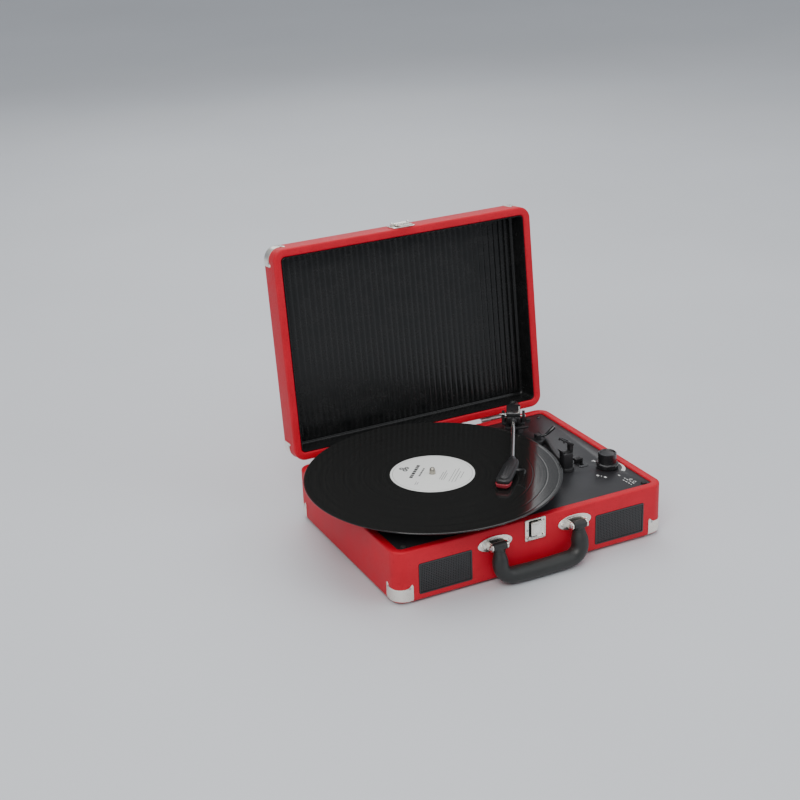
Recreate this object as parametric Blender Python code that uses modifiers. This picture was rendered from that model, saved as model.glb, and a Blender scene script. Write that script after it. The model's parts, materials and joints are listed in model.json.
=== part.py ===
"""Suitcase record player: a hinged lid, a carrying handle, a belt-driven platter and a tonearm.

The frame: +Z up, origin on the standing surface under the middle of the case, +X to the
player's right and -Y to its front. All lengths below are in millimetres and are turned into
metres by the helpers. Modelled as it stands in use: lid open, tonearm over the record.
"""
import math

import bmesh
import bpy
from mathutils import Matrix, Vector

MM = 0.001
GAP = 0.3                      # clearance between neighbouring pieces

# Case
WIDTH, DEPTH = 352.0, 264.0
FOOT_HEIGHT = 2.5
RIM_Z = 66.0                   # top of the base's rim
WALL, LEDGE = 10.0, 4.0        # wall board, and the step that carries the deck
CORNER_R = 15.0
DECK_TOP, DECK_THICK = 64.0, 3.0
BOTTOM_THICK = 4.0

# Lid, in its own frame: origin on the hinge axis, lid closed
HINGE = (0.0, DEPTH / 2 + 3.0, RIM_Z)
LID_ANGLE = 96.5               # degrees open as modelled
LID_GAP, LID_THICK, LID_TOP_BOARD = 0.6, 34.0, 3.0
LID_BACK, LID_FRONT = -3.0, -3.0 - DEPTH
LINER_WALL = 1.0

# Record and platter
SPINDLE_XY = (-64.3, -10.7)
RECORD_TOP, RECORD_THICK, RECORD_R = 87.0, 1.6, 150.8
LABEL_R = 50.0
PLATTER_R, PLATTER_TOP, PLATTER_BOTTOM = 97.0, 83.0, 68.0
BELT_RING_R, BELT_THICK = 63.0, 0.8
PULLEY_R = 4.2
MOTOR_OFFSET, MOTOR_ANGLE = 79.0, 135.0

# Tonearm, in its own frame: origin at the pivot, the arm pointing along -Y
ARM_XY = (100.0, 81.0)
ARM_SWING = -31.4              # degrees from the arm rest to the place modelled
HEAD_TURN = -12.0              # the head points this much further in than the tube
HEAD_LONG = 48.0               # from the end of the tube's line to the stylus
ARM_AXLE_Z = 90.0
ARM_LENGTH = 202.3             # pivot to stylus
ARM_RISE = 0.027               # the tube climbs this much per unit of length
TUBE_R = 2.4
REST_XY = (100.0, -40.0)
CLIP_Z, CLIP_TURN = 97.4, -146.0  # the clip's pin, and how far the clip is turned about it

# Controls and fittings
KNOB_XY = (146.0, -59.0)
SPEED_XY = (124.0, -29.0)
LEVER_XYZ = (116.5, 42.0, 73.0)
GRILLE_X, GRILLE_Z, GRILLE_W, GRILLE_H = 114.0, 29.0, 67.0, 38.0
BRACKET_X = 52.0
HANDLE_AXIS = (0.0, -DEPTH / 2 - 9.5, 48.5)
HANDLE_LEAN = 8.0             # degrees forward of hanging straight down
HINGE_X = 105.0


# Helpers

def collection(name):
    made = bpy.data.collections.new(name)
    bpy.context.scene.collection.children.link(made)
    return made


def clear_scene():
    for obj in list(bpy.data.objects):
        bpy.data.objects.remove(obj, do_unlink=True)


clear_scene()
PARTS = collection("suitcase_record_player")
CUTTERS = collection("cutters")
MATERIALS = {}


def material(name, colour, roughness, metallic=0.0):
    """A plain material, made once and shared by name."""
    if name not in MATERIALS:
        made = bpy.data.materials.new(name)
        made.use_nodes = True
        shader = made.node_tree.nodes["Principled BSDF"]
        shader.inputs["Base Color"].default_value = (*colour, 1.0)
        shader.inputs["Roughness"].default_value = roughness
        shader.inputs["Metallic"].default_value = metallic
        MATERIALS[name] = made
    return MATERIALS[name]


def leatherette():
    return material("red_leatherette", (0.55, 0.02, 0.02), 0.5)


def chrome():
    return material("nickel", (0.78, 0.77, 0.75), 0.22, 1.0)


def black_plastic():
    return material("black_plastic", (0.02, 0.02, 0.022), 0.4)


def board():
    return material("fibreboard", (0.42, 0.3, 0.18), 0.8)


def steel():
    return material("steel", (0.6, 0.6, 0.6), 0.35, 1.0)


def vec(point):
    return Vector(point) * MM


def add_object(name, mesh, origin=(0, 0, 0), parent=None, look=None, to=None):
    obj = bpy.data.objects.new(name, mesh)
    (to or PARTS).objects.link(obj)
    obj.location = vec(origin)
    if parent:
        obj.parent = parent
    if look:
        mesh.materials.append(look)
    return obj


def axis_empty(name, origin, rotation=(0, 0, 0), parent=None):
    """An empty that stands on a joint's axis."""
    empty = bpy.data.objects.new(name, None)
    PARTS.objects.link(empty)
    empty.location = vec(origin)
    empty.rotation_euler = [math.radians(a) for a in rotation]
    empty.parent = parent
    return empty


def mesh_from(name, bm):
    mesh = bpy.data.meshes.new(name)
    bmesh.ops.recalc_face_normals(bm, faces=bm.faces)
    bm.to_mesh(mesh)
    bm.free()
    return mesh


def smooth(obj, angle=35.0):
    obj.data.shade_smooth()
    obj.data.set_sharp_from_angle(angle=math.radians(angle))
    return obj


def as_cutter(obj):
    for owner in list(obj.users_collection):
        owner.objects.unlink(obj)
    CUTTERS.objects.link(obj)
    obj.hide_render = True
    obj.display_type = "WIRE"
    return obj


def boolean(obj, other, operation):
    step = obj.modifiers.new(operation.lower(), "BOOLEAN")
    step.object = as_cutter(other)
    step.operation = operation
    step.solver = "EXACT"
    return obj


def cut(obj, *others):
    for other in others:
        boolean(obj, other, "DIFFERENCE")
    return obj


def join(obj, *others):
    for other in others:
        boolean(obj, other, "UNION")
    return obj


def box(name, low, high, look=None, parent=None, corner=0.0, edge=0.0, steps=6):
    """A box from two corner points, its upright edges rounded by corner, its others by edge."""
    low, high = Vector(low), Vector(high)
    middle, size = (low + high) / 2, high - low
    bm = bmesh.new()
    bmesh.ops.create_cube(bm, size=1.0, matrix=Matrix.Diagonal((*(size * MM), 1.0)))
    if corner:
        upright = [e for e in bm.edges if abs((e.verts[0].co - e.verts[1].co).z) > 1e-7]
        bmesh.ops.bevel(bm, geom=upright, offset=corner * MM, segments=steps, profile=0.5, affect="EDGES")
    if edge:
        level = [e for e in bm.edges if abs(e.verts[0].co.z - e.verts[1].co.z) < 1e-7]
        bmesh.ops.bevel(bm, geom=level, offset=edge * MM, segments=2, profile=0.5, affect="EDGES")
    return add_object(name, mesh_from(name, bm), middle, parent, look)


TURN = {"X": Matrix.Rotation(math.pi / 2, 4, "Y"), "Y": Matrix.Rotation(-math.pi / 2, 4, "X"),
        "Z": Matrix.Identity(4)}


def rod(name, start, length, radius, axis="Z", look=None, parent=None, sides=24, radius2=None):
    """A cylinder or cone from start along axis."""
    bm = bmesh.new()
    bmesh.ops.create_cone(bm, cap_ends=True, segments=sides, radius1=radius * MM,
                          radius2=(radius if radius2 is None else radius2) * MM, depth=length * MM,
                          matrix=TURN[axis] @ Matrix.Translation((0, 0, length * MM / 2)))
    return smooth(add_object(name, mesh_from(name, bm), start, parent, look))


def turned(name, profile, origin, look=None, parent=None, steps=48, axis="Z"):
    """A body of revolution. The profile of (radius, height) runs top to bottom down the outside."""
    mesh = bpy.data.meshes.new(name)
    points = [(r * MM, 0.0, h * MM) for r, h in profile]
    mesh.from_pydata(points, [(i, i + 1) for i in range(len(points) - 1)], [])
    obj = add_object(name, mesh, origin, parent, look)
    screw = obj.modifiers.new("turn", "SCREW")
    screw.steps = screw.render_steps = steps
    screw.use_merge_vertices = True
    screw.merge_threshold = 0.00001
    screw.use_smooth_shade = False
    if axis == "Y":
        obj.rotation_euler.x = math.pi / 2
    return obj


def ring_profile(inner, outer, bottom, top):
    return [(inner, top), (outer, top), (outer, bottom), (inner, bottom), (inner, top)]


def plate(name, outline, bottom, thick, look=None, parent=None, origin=(0, 0, 0), holes=(), turn=None):
    """A flat piece: 2D outlines, the first outside and the rest holes, given a thickness."""
    curve = bpy.data.curves.new(name, "CURVE")
    curve.dimensions = "2D"
    curve.fill_mode = "BOTH"
    curve.extrude = thick * MM / 2
    for points in (outline, *holes):
        spline = curve.splines.new("POLY")
        spline.points.add(len(points) - 1)
        for spot, (x, y) in zip(spline.points, points):
            spot.co = (x * MM, y * MM, 0.0, 1.0)
        spline.use_cyclic_u = True
    shape = bpy.data.objects.new(name, curve)
    PARTS.objects.link(shape)
    bpy.context.view_layer.update()
    mesh = bpy.data.meshes.new_from_object(shape.evaluated_get(bpy.context.evaluated_depsgraph_get()))
    bpy.data.objects.remove(shape)
    bpy.data.curves.remove(curve)
    bm = bmesh.new()
    bm.from_mesh(mesh)
    bmesh.ops.remove_doubles(bm, verts=bm.verts, dist=1e-6)
    bmesh.ops.translate(bm, verts=bm.verts, vec=(0, 0, (bottom + thick / 2) * MM))
    if turn:
        bmesh.ops.transform(bm, matrix=TURN[turn], verts=bm.verts)
    bpy.data.meshes.remove(mesh)
    return add_object(name, mesh_from(name, bm), origin, parent, look)


def tube(name, points, radius, look=None, parent=None, origin=(0, 0, 0), sides=3):
    """A round bar along points, with welded caps."""
    curve = bpy.data.curves.new(name, "CURVE")
    curve.dimensions = "3D"
    curve.bevel_depth = radius * MM
    curve.bevel_resolution = sides
    curve.use_fill_caps = True
    spline = curve.splines.new("POLY")
    spline.points.add(len(points) - 1)
    for spot, point in zip(spline.points, points):
        spot.co = (*vec(point), 1.0)
    shape = bpy.data.objects.new(name, curve)
    PARTS.objects.link(shape)
    bpy.context.view_layer.update()
    mesh = bpy.data.meshes.new_from_object(shape.evaluated_get(bpy.context.evaluated_depsgraph_get()))
    bpy.data.objects.remove(shape)
    bpy.data.curves.remove(curve)
    bm = bmesh.new()
    bm.from_mesh(mesh)
    bmesh.ops.remove_doubles(bm, verts=bm.verts, dist=1e-6)
    bpy.data.meshes.remove(mesh)
    return smooth(add_object(name, mesh_from(name, bm), origin, parent, look))


def arc(centre, radius, start, end, count):
    """Points on a circle, from start to end degrees."""
    angles = [math.radians(start + (end - start) * i / (count - 1)) for i in range(count)]
    return [(centre[0] + radius * math.cos(a), centre[1] + radius * math.sin(a)) for a in angles]


def stadium(length, height, count=9):
    """A bar with round ends, as an outline about its middle."""
    reach, radius = length / 2 - height / 2, height / 2
    return arc((reach, 0), radius, -90, 90, count) + arc((-reach, 0), radius, 90, 270, count)


def around(point, radius, count=24):
    return arc(point, radius, 0, 360 * (count - 1) / count, count)


# Case

def base_case():
    half_w, half_d = WIDTH / 2, DEPTH / 2
    case = box("base_case", (-half_w, -half_d, FOOT_HEIGHT), (half_w, half_d, RIM_Z), leatherette(),
               corner=CORNER_R, edge=1.2)
    deck_seat = DECK_TOP - DECK_THICK - GAP
    top_pocket = box("deck_pocket", (WALL - half_w, WALL - half_d, deck_seat),
                     (half_w - WALL, half_d - WALL, RIM_Z + 5), corner=5.0, steps=3)
    floor_top = FOOT_HEIGHT + BOTTOM_THICK + GAP
    inside = WALL + LEDGE
    cavity = box("case_cavity", (inside - half_w, inside - half_d, floor_top - 1),
                 (half_w - inside, half_d - inside, deck_seat + 1), corner=5.0, steps=3)
    bottom_pocket = box("bottom_pocket", (WALL - half_w, WALL - half_d, FOOT_HEIGHT - 5),
                        (half_w - WALL, half_d - WALL, floor_top), corner=5.0, steps=3)
    cut(case, top_pocket, cavity, bottom_pocket)
    for side in (-1, 1):
        x = side * GRILLE_X
        cut(case, box(f"grille_opening_{side}", (x - GRILLE_W / 2 - GAP, -half_d - 5, GRILLE_Z - GRILLE_H / 2 - GAP),
                      (x + GRILLE_W / 2 + GAP, -half_d + inside + 5, GRILLE_Z + GRILLE_H / 2 + GAP)))
    cut(case, box("socket_opening", (SOCKET_X - 42, half_d - inside - 5, SOCKET_Z - 10),
                  (SOCKET_X + 42, half_d + 5, SOCKET_Z + 10)))


SOCKET_X, SOCKET_Z = -30.0, 34.0


def bottom_panel():
    half_w, half_d = WIDTH / 2 - WALL - GAP, DEPTH / 2 - WALL - GAP
    top = FOOT_HEIGHT + BOTTOM_THICK
    panel = box("bottom_panel", (-half_w, -half_d, FOOT_HEIGHT), (half_w, half_d, top), board(),
                corner=5.0, steps=3)
    for x in (BOARD_X - 26, BOARD_X + 26):
        for y in (BOARD_Y - 20, BOARD_Y + 20):
            join(panel, rod("board_boss", (x, y, top - 1), 6.2, 3.0, sides=12))


BOARD_X, BOARD_Y = 130.0, 40.0


def feet():
    for name, x, y in (("foot_front_left", -1, -1), ("foot_front_right", 1, -1),
                       ("foot_back_left", -1, 1), ("foot_back_right", 1, 1)):
        turned(name, [(0, FOOT_HEIGHT - GAP), (8, FOOT_HEIGHT - GAP), (7, 0), (0, 0)],
               (x * 146, y * 104, 0), material("rubber", (0.03, 0.03, 0.03), 0.8), steps=20)


def deck_panel():
    half_w, half_d = WIDTH / 2 - WALL - GAP, DEPTH / 2 - WALL - GAP
    deck = box("deck_panel", (-half_w, -half_d, DECK_TOP - DECK_THICK), (half_w, half_d, DECK_TOP),
               material("deck_black", (0.03, 0.03, 0.032), 0.45), corner=5.0, edge=0.0, steps=3)
    low, deep = DECK_TOP - DECK_THICK - 2, DECK_THICK + 4
    motor_x, motor_y = motor_xy()
    for name, (x, y), radius in (("spindle_hole", SPINDLE_XY, 6.6), ("motor_hole", (motor_x, motor_y), 5.0),
                                 ("knob_hole", KNOB_XY, 3.4), ("arm_hole", ARM_XY, 9.0)):
        cut(deck, rod(name, (x, y, low), deep, radius, sides=20))
    x, y = SPEED_XY
    cut(deck, box("speed_slot", (x - 2.2, y - 11, low), (x + 2.2, y + 11, low + deep)))


def corner_guard(name, side_x, side_y, side_z, low, high, parent=None):
    """A sheet-metal cap over one corner of the box low to high, its free edge scooped between lobes."""
    inner_r, outer_r = CORNER_R + GAP, CORNER_R + GAP + 1.0
    low, high = Vector(low), Vector(high)
    skin, clear = Vector((GAP + 1.0,) * 3), Vector((GAP,) * 3)
    corner = Vector((high.x if side_x > 0 else low.x, high.y if side_y > 0 else low.y,
                     high.z if side_z > 0 else low.z))
    guard = box(name, low - skin, high + skin, chrome(), parent, corner=outer_r, edge=1.6)
    body = box(name + "_body", low - clear, high + clear, None, parent, corner=inner_r, edge=1.0)
    reach = 21.0
    keep_from = corner - Vector((side_x, side_y, side_z)) * reach
    keep_to = corner + Vector((side_x, side_y, side_z)) * 5
    keep = box(name + "_keep", [min(a, b) for a, b in zip(keep_from, keep_to)],
               [max(a, b) for a, b in zip(keep_from, keep_to)], None, parent)
    scoop_r, scoop_z = 13.0, corner.z - side_z * 28.0
    along = corner - Vector((side_x, side_y, 0)) * 11.0
    front = rod(name + "_scoop_x", (along.x, corner.y - 30, scoop_z), 60, scoop_r, "Y", None, parent, 28)
    flank = rod(name + "_scoop_y", (corner.x - 30, along.y, scoop_z), 60, scoop_r, "X", None, parent, 28)
    under_z = corner.z - side_z * 6
    under = rod(name + "_scoop_z", (corner.x - side_x * 27, corner.y - side_y * 27, min(under_z, corner.z + side_z * 8)),
                14, 14.0, "Z", None, parent, 28)
    boolean(guard, keep, "INTERSECT")
    cut(guard, body, front, flank, under)


def base_guards():
    low = (-WIDTH / 2, -DEPTH / 2, FOOT_HEIGHT)
    high = (WIDTH / 2, DEPTH / 2, RIM_Z)
    for name, x, y in (("front_left", -1, -1), ("front_right", 1, -1), ("back_left", -1, 1), ("back_right", 1, 1)):
        corner_guard("base_corner_" + name, x, y, -1, low, high)


def grilles_and_speakers():
    front = -DEPTH / 2
    for name, side in (("left", -1), ("right", 1)):
        x = side * GRILLE_X
        box("speaker_grille_" + name, (x - GRILLE_W / 2, front - 0.6, GRILLE_Z - GRILLE_H / 2),
            (x + GRILLE_W / 2, front + 2.0, GRILLE_Z + GRILLE_H / 2), material("grille_black", (0.02, 0.02, 0.02), 0.6))
        back = WALL + LEDGE + GAP
        profile = [(0, -6.0), (5.5, -5.0), (8.0, -6.5), (17.0, -1.0), (18.0, 0), (21.0, 0), (21.0, -2.0),
                   (15.0, -9.0), (15.0, -22.0), (0, -22.0)]
        turned("speaker_" + name, profile, (x, front + back, GRILLE_Z + 1), material("cone_black", (0.05, 0.05, 0.05), 0.7),
               steps=28, axis="Y")


# Latch, handle

def latch():
    front = -DEPTH / 2 - GAP
    body = box("latch_plate", (-13.5, front - 1.2, 39.5), (13.5, front, RIM_Z - 0.3), chrome())
    for x in (-9.5, 9.5):
        join(body, box("latch_ear", (x - 1.2, front - 4.6, 41.0), (x + 1.2, front - 0.6, 46.5)))
    cut(body, rod("latch_bore", (-15, front - 2.9, 44.0), 30, 1.0, "X", sides=12))
    axis = axis_empty("latch_axis", (0, front - 2.9, 44.0))
    tongue = box("latch_tongue", (-6.5, -1.2, -1.2), (6.5, 0.8, 19.5), chrome(), axis)
    join(tongue, rod("tongue_pin", (-10.8, 0, 0), 21.6, 0.7, "X", None, axis, 12),
         box("tongue_lip", (-6.5, -3.4, 16.5), (6.5, -0.9, 19.5), None, axis))


def handle_brackets():
    front = -DEPTH / 2 - GAP
    _, axis_y, axis_z = HANDLE_AXIS
    for name, side in (("left", -1), ("right", 1)):
        x = side * BRACKET_X
        bracket = plate("handle_bracket_" + name, stadium(44, 17), 0, 1.5, chrome(), origin=(x, front, axis_z),
                        turn="Y")
        bracket.scale = (1, -1, 1)
        bracket.data.transform(Matrix.Diagonal((1, -1, 1, 1)))
        bracket.data.flip_normals()
        bracket.scale = (1, 1, 1)
        for ear in (-1, 1):
            join(bracket, plate("bracket_ear", ear_outline(front, axis_y), -1.1, 2.2,
                                origin=(x + ear * 9.6, axis_y, axis_z), turn="X"))
        join(bracket, rod("bracket_pin", (x - 11, axis_y, axis_z), 22, 2.0, "X", sides=16))


def ear_outline(front, axis_y):
    """A tab from the plate out to a round end about the pin. The outline's x is down, its y is back."""
    reach = front - axis_y - 0.5
    return arc((0, 0), 4.4, 180, 360, 9)[::1] + [(4.4, reach), (-4.4, reach)]


def handle():
    axis = axis_empty("handle_axis", HANDLE_AXIS, (-HANDLE_LEAN, 0, 0))
    drop, half, bend = 37.5, BRACKET_X, 17.0
    corner = [(half - bend + bend * math.cos(a), 0, -(drop - bend) - bend * math.sin(a))
              for a in [math.radians(15 * i) for i in range(7)]]
    path = [(-x, y, z) for x, y, z in corner] + corner[::-1]
    grip = tube("handle", path, 9.0, material("handle_black", (0.02, 0.02, 0.02), 0.5), axis, sides=4)
    for side in (-1, 1):
        join(grip, rod("handle_neck", (side * half, 0, -(drop - bend) - 1.0), drop - bend + 1.0, 9.0, "Z", None, axis, 24, 5.6))
    for side in (-1, 1):
        join(grip, rod("handle_eye", (side * half - 8.0, 0, 0), 16.0, 5.2, "X", None, axis, 20))
        for ear in (-1, 1):
            x = side * half + ear * 11.4
            cut(grip, box("ear_room", (x - 3.2, -12, -6.0), (x + 3.2, 12, 14), None, axis))
    cut(grip, box("eye_room", (-80, -12, 4.9), (80, 12, 20), None, axis),
        rod("handle_bore", (-80, 0, 0), 160, 2.35, "X", None, axis, 16))


# Platter, record, motor

def motor_xy():
    angle = math.radians(MOTOR_ANGLE)
    return (SPINDLE_XY[0] + MOTOR_OFFSET * math.cos(angle), SPINDLE_XY[1] + MOTOR_OFFSET * math.sin(angle))


def platter_group():
    axis = axis_empty("platter_axis", (*SPINDLE_XY, 0))
    bore = 3.8
    top, bottom = PLATTER_TOP, PLATTER_BOTTOM
    ring_in, ring_out = BELT_RING_R - 3, BELT_RING_R
    turned("platter", [(bore, top), (PLATTER_R - 1, top), (PLATTER_R, top - 1), (PLATTER_R, bottom),
                       (PLATTER_R - 3, bottom), (PLATTER_R - 3, top - 3), (ring_out, top - 3),
                       (ring_out, bottom + 4), (ring_in, bottom + 4), (ring_in, top - 3), (10, top - 3),
                       (10, bottom), (bore, bottom), (bore, top)],
           (0, 0, 0), material("platter_plastic", (0.04, 0.04, 0.045), 0.5), axis, steps=64)
    turned("platter_mat", ring_profile(bore, 94, top + GAP, RECORD_TOP - RECORD_THICK - GAP), (0, 0, 0),
           material("rubber_mat", (0.03, 0.03, 0.03), 0.8), axis, steps=48)
    turned("spindle", [(0, 95.0), (1.6, 94.6), (3.0, 93.2), (3.5, 91.5), (3.5, 54.5), (0, 54.5)], (0, 0, 0),
           steel(), axis, steps=24)
    turned("vinyl_record", ring_profile(bore, RECORD_R, RECORD_TOP - RECORD_THICK, RECORD_TOP), (0, 0, 0),
           material("vinyl", (0.01, 0.01, 0.01), 0.2), axis, steps=96)
    turned("record_label", ring_profile(bore, LABEL_R, RECORD_TOP + GAP, RECORD_TOP + 2 * GAP), (0, 0, 0),
           material("label_paper", (0.75, 0.75, 0.72), 0.6), axis, steps=48)
    turned("platter_bearing", [(3.9, 66.0), (10.0, 66.0), (10.0, DECK_TOP + GAP), (6.2, DECK_TOP + GAP), (6.2, 52.0),
                               (3.9, 52.0), (3.9, 66.0)], (*SPINDLE_XY, 0), steel(), steps=24)


def motor_and_belt():
    x, y = motor_xy()
    top = DECK_TOP - DECK_THICK - GAP
    motor = turned("motor", [(0, top), (4.5, top), (4.5, top - 1), (16, top - 1), (16, top - 23), (0, top - 23)],
                   (x, y, 0), steel(), steps=28)
    cut(motor, rod("motor_bore", (x, y, top - 12), 20, 1.5, sides=12))
    axis = axis_empty("motor_axis", (x, y, 0))
    turned("motor_pulley", [(0, 78.6), (PULLEY_R + 1, 78.6), (PULLEY_R + 1, 77.6), (PULLEY_R, 77.2),
                            (PULLEY_R, 73.3), (PULLEY_R + 1, 72.9), (PULLEY_R + 1, 72.0), (1.2, 71.5),
                            (1.2, top - 11.5), (0, top - 11.5)], (0, 0, 0), material("brass", (0.7, 0.5, 0.2), 0.3, 1.0),
           axis, steps=24)
    inner = belt_outline(BELT_RING_R + GAP, PULLEY_R + GAP)
    outer = belt_outline(BELT_RING_R + GAP + BELT_THICK, PULLEY_R + GAP + BELT_THICK)
    belt = plate("drive_belt", outer, 74.0, 2.6, material("belt_rubber", (0.02, 0.02, 0.02), 0.9),
                 origin=(*SPINDLE_XY, 0), holes=(inner,))
    belt.rotation_euler.z = math.radians(MOTOR_ANGLE)


def belt_outline(ring, pulley):
    """The taut loop around two circles whose centres are MOTOR_OFFSET apart along X."""
    lean = math.degrees(math.acos((ring - pulley) / MOTOR_OFFSET))
    return arc((0, 0), ring, lean, 360 - lean, 49) + arc((MOTOR_OFFSET, 0), pulley, -lean, lean, 9)


# Inside the case

def electronics():
    top = FOOT_HEIGHT + BOTTOM_THICK
    x, y, z = BOARD_X, BOARD_Y, top + 5.2 + GAP
    green = material("circuit_green", (0.02, 0.18, 0.08), 0.5)
    pcb = box("circuit_board", (x - 31, y - 25, z), (x + 31, y + 25, z + 1.6), green)
    for name, low, high in (("chip", (-8, -6, 1.5), (6, 6, 3.4)), ("heat_sink", (-26, 8, 1.5), (-12, 20, 12)),
                            ("capacitor", (12, 6, 1.5), (22, 16, 12)), ("connector", (-24, -22, 1.5), (20, -16, 7))):
        join(pcb, box(name, (x + low[0], y + low[1], z + low[2]), (x + high[0], y + high[1], z + high[2])))


def socket_panel():
    back = DEPTH / 2
    x0, z0 = SOCKET_X, SOCKET_Z
    panel = box("socket_panel", (x0 - 45, back + GAP, z0 - 13), (x0 + 45, back + GAP + 1.8, z0 + 13), black_plastic())
    join(panel, box("socket_box", (x0 - 41, back - 20, z0 - 9), (x0 + 41, back + 1, z0 + 9)))
    rca, outer = (-32, -16), back + GAP + 1.8
    for x in rca:
        join(panel, rod("rca_barrel", (x0 + x, outer - 1, z0), 7.5, 4.2, "Y", sides=20))
        cut(panel, rod("rca_core", (x0 + x, outer - 5, z0), 15, 1.8, "Y", sides=16))
    cut(panel, rod("aux_hole", (x0 + 1, outer - 12, z0), 20, 1.8, "Y", sides=16),
        rod("phones_hole", (x0 + 13, outer - 12, z0), 20, 1.8, "Y", sides=16),
        box("usb_hole", (x0 + 21.5, outer - 12, z0 - 5.2), (x0 + 30, outer + 5, z0 + 4.2)),
        rod("power_hole", (x0 + 37, outer - 11, z0), 20, 3.0, "Y", sides=16))


def volume_control():
    x, y = KNOB_XY
    top = DECK_TOP - DECK_THICK - GAP
    pot = turned("volume_pot", [(0, top), (8.5, top), (8.5, top - 9), (0, top - 9)], (x, y, 0), steel(), steps=24)
    cut(pot, rod("pot_bore", (x, y, top - 6), 20, 2.9, sides=16))
    axis = axis_empty("knob_axis", (x, y, 0))
    base = DECK_TOP + 0.8
    knob = turned("volume_knob", [(0, base + 19), (9.6, base + 19), (10.8, base + 18), (10.8, base + 6.5), (13, base + 5.5),
                                  (13, base), (2.5, base), (2.5, top - 5.5), (0, top - 5.5)], (0, 0, 0), black_plastic(), axis,
                  steps=40)
    cut(knob, rod("knob_dish", (0, 0, base + 18.2), 5, 8.2, "Z", None, axis, 32))


def speed_switch():
    x, y = SPEED_XY
    top = DECK_TOP - DECK_THICK - GAP
    body = box("speed_switch", (x - 5, y - 15, top - 7), (x + 5, y + 15, top), black_plastic())
    cut(body, box("switch_slot", (x - 2.0, y - 11, top - 4), (x + 2.0, y + 11, top + 5)))
    axis = axis_empty("speed_axis", (x, y, 0))
    lever = box("speed_lever", (-4.5, -2.6, DECK_TOP + 0.6), (6.5, 2.6, DECK_TOP + 5.6), black_plastic(), axis,
                corner=2.0, steps=3)
    join(lever, box("lever_stem", (-1.5, -2.4, top - 3.5), (1.5, 2.4, DECK_TOP + 2), None, axis))


# Tonearm

def tonearm_base():
    x, y = ARM_XY
    low = DECK_TOP + GAP
    rail = [(126, 62), (123.5, 44), (118, 26), (112, 8), (107, -10), (104.5, -26)]
    shape = plate("tonearm_base", arc((x, y), 19, -40, 265, 25) + [(84, 60), (84, 42), (90, 34), (112, 32), (121, 38)],
                  low, 6.0, black_plastic())
    join(shape, tube("base_rail", [(px, py, low + 3.0) for px, py in rail], 2.6))
    join(shape, rod("base_column", (x, y, low + 3), 80.0 - low - 3, 13.0, sides=32, radius2=11.0))
    join(shape, box("lever_boss", (108.5, 37.5, low + 4), (115.0, 46.5, 77.0), corner=1.5, steps=2))
    cut(shape, rod("pivot_bore", (x, y, low + 2), 40, 4.4, sides=20),
        rod("lever_bore", (100, LEVER_XYZ[1], LEVER_XYZ[2]), 30, 1.95, "X", sides=16))
    stem_x, stem_y = lift_stem_xy()
    cut(shape, rod("stem_bore", (stem_x, stem_y, low + 1), 40, 2.3, sides=16))


LIFT_R, LIFT_MID = 28.0, -21.0


def lift_stem_xy():
    angle = math.radians(LIFT_MID)
    return ARM_XY[0] + LIFT_R * math.sin(angle), ARM_XY[1] - LIFT_R * math.cos(angle)


def lift():
    x, y = ARM_XY
    middle = -90 + LIFT_MID
    inner = arc((x, y), LIFT_R - 2, middle - 30, middle + 30, 13)
    outer = arc((x, y), LIFT_R + 2, middle + 30, middle - 30, 13)
    bar = plate("lift_bar", inner + outer, 84.0, 2.0, black_plastic())
    stem_x, stem_y = lift_stem_xy()
    join(bar, rod("lift_stem", (stem_x, stem_y, 67.5), 17.5, 1.9, sides=16))
    axis = axis_empty("lever_axis", LEVER_XYZ)
    tube("lift_lever", [(-6, 0, 0), (5.5, 0, 0), (7.5, -0.6, 1.0), (16.5, -3.5, 9.5)], 1.6, black_plastic(), axis)


def arm_rest():
    x, y = REST_XY
    low = DECK_TOP + GAP
    post = box("arm_rest", (x - 6.5, y - 6, low), (x + 7.5, y + 6, 87.0), black_plastic(), corner=3.0, steps=4)
    join(post, rod("rest_foot", (x + 0.5, y, low), 4.0, 9.5, sides=28),
         box("rest_lip", (x - 6.5, y - 3.5, 86), (x - 3.6, y + 3.5, 89.6)),
         box("rest_hook", (x + 3.6, y - 3.5, 86), (x + 8.0, y + 3.5, 99.4)))
    cut(post, rod("clip_bore", (x + 5.8, y - 12, CLIP_Z), 24, 1.3, "Y", sides=14))
    axis = axis_empty("clip_axis", (x + 5.8, y, CLIP_Z), (0, CLIP_TURN, 0))
    clip = rod("arm_clip", (0, -5.6, 0), 11.2, 0.9, "Y", black_plastic(), axis, 14)
    for side in (-1, 1):
        join(clip, box("clip_arm", (-1.4, side * 5.0 - 0.8, -1.2), (13.3, side * 5.0 + 0.8, 1.0), None, axis))
    join(clip, box("clip_bar", (12.0, -6.0, -0.9), (14.0, 6.0, 3.4), None, axis))


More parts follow.
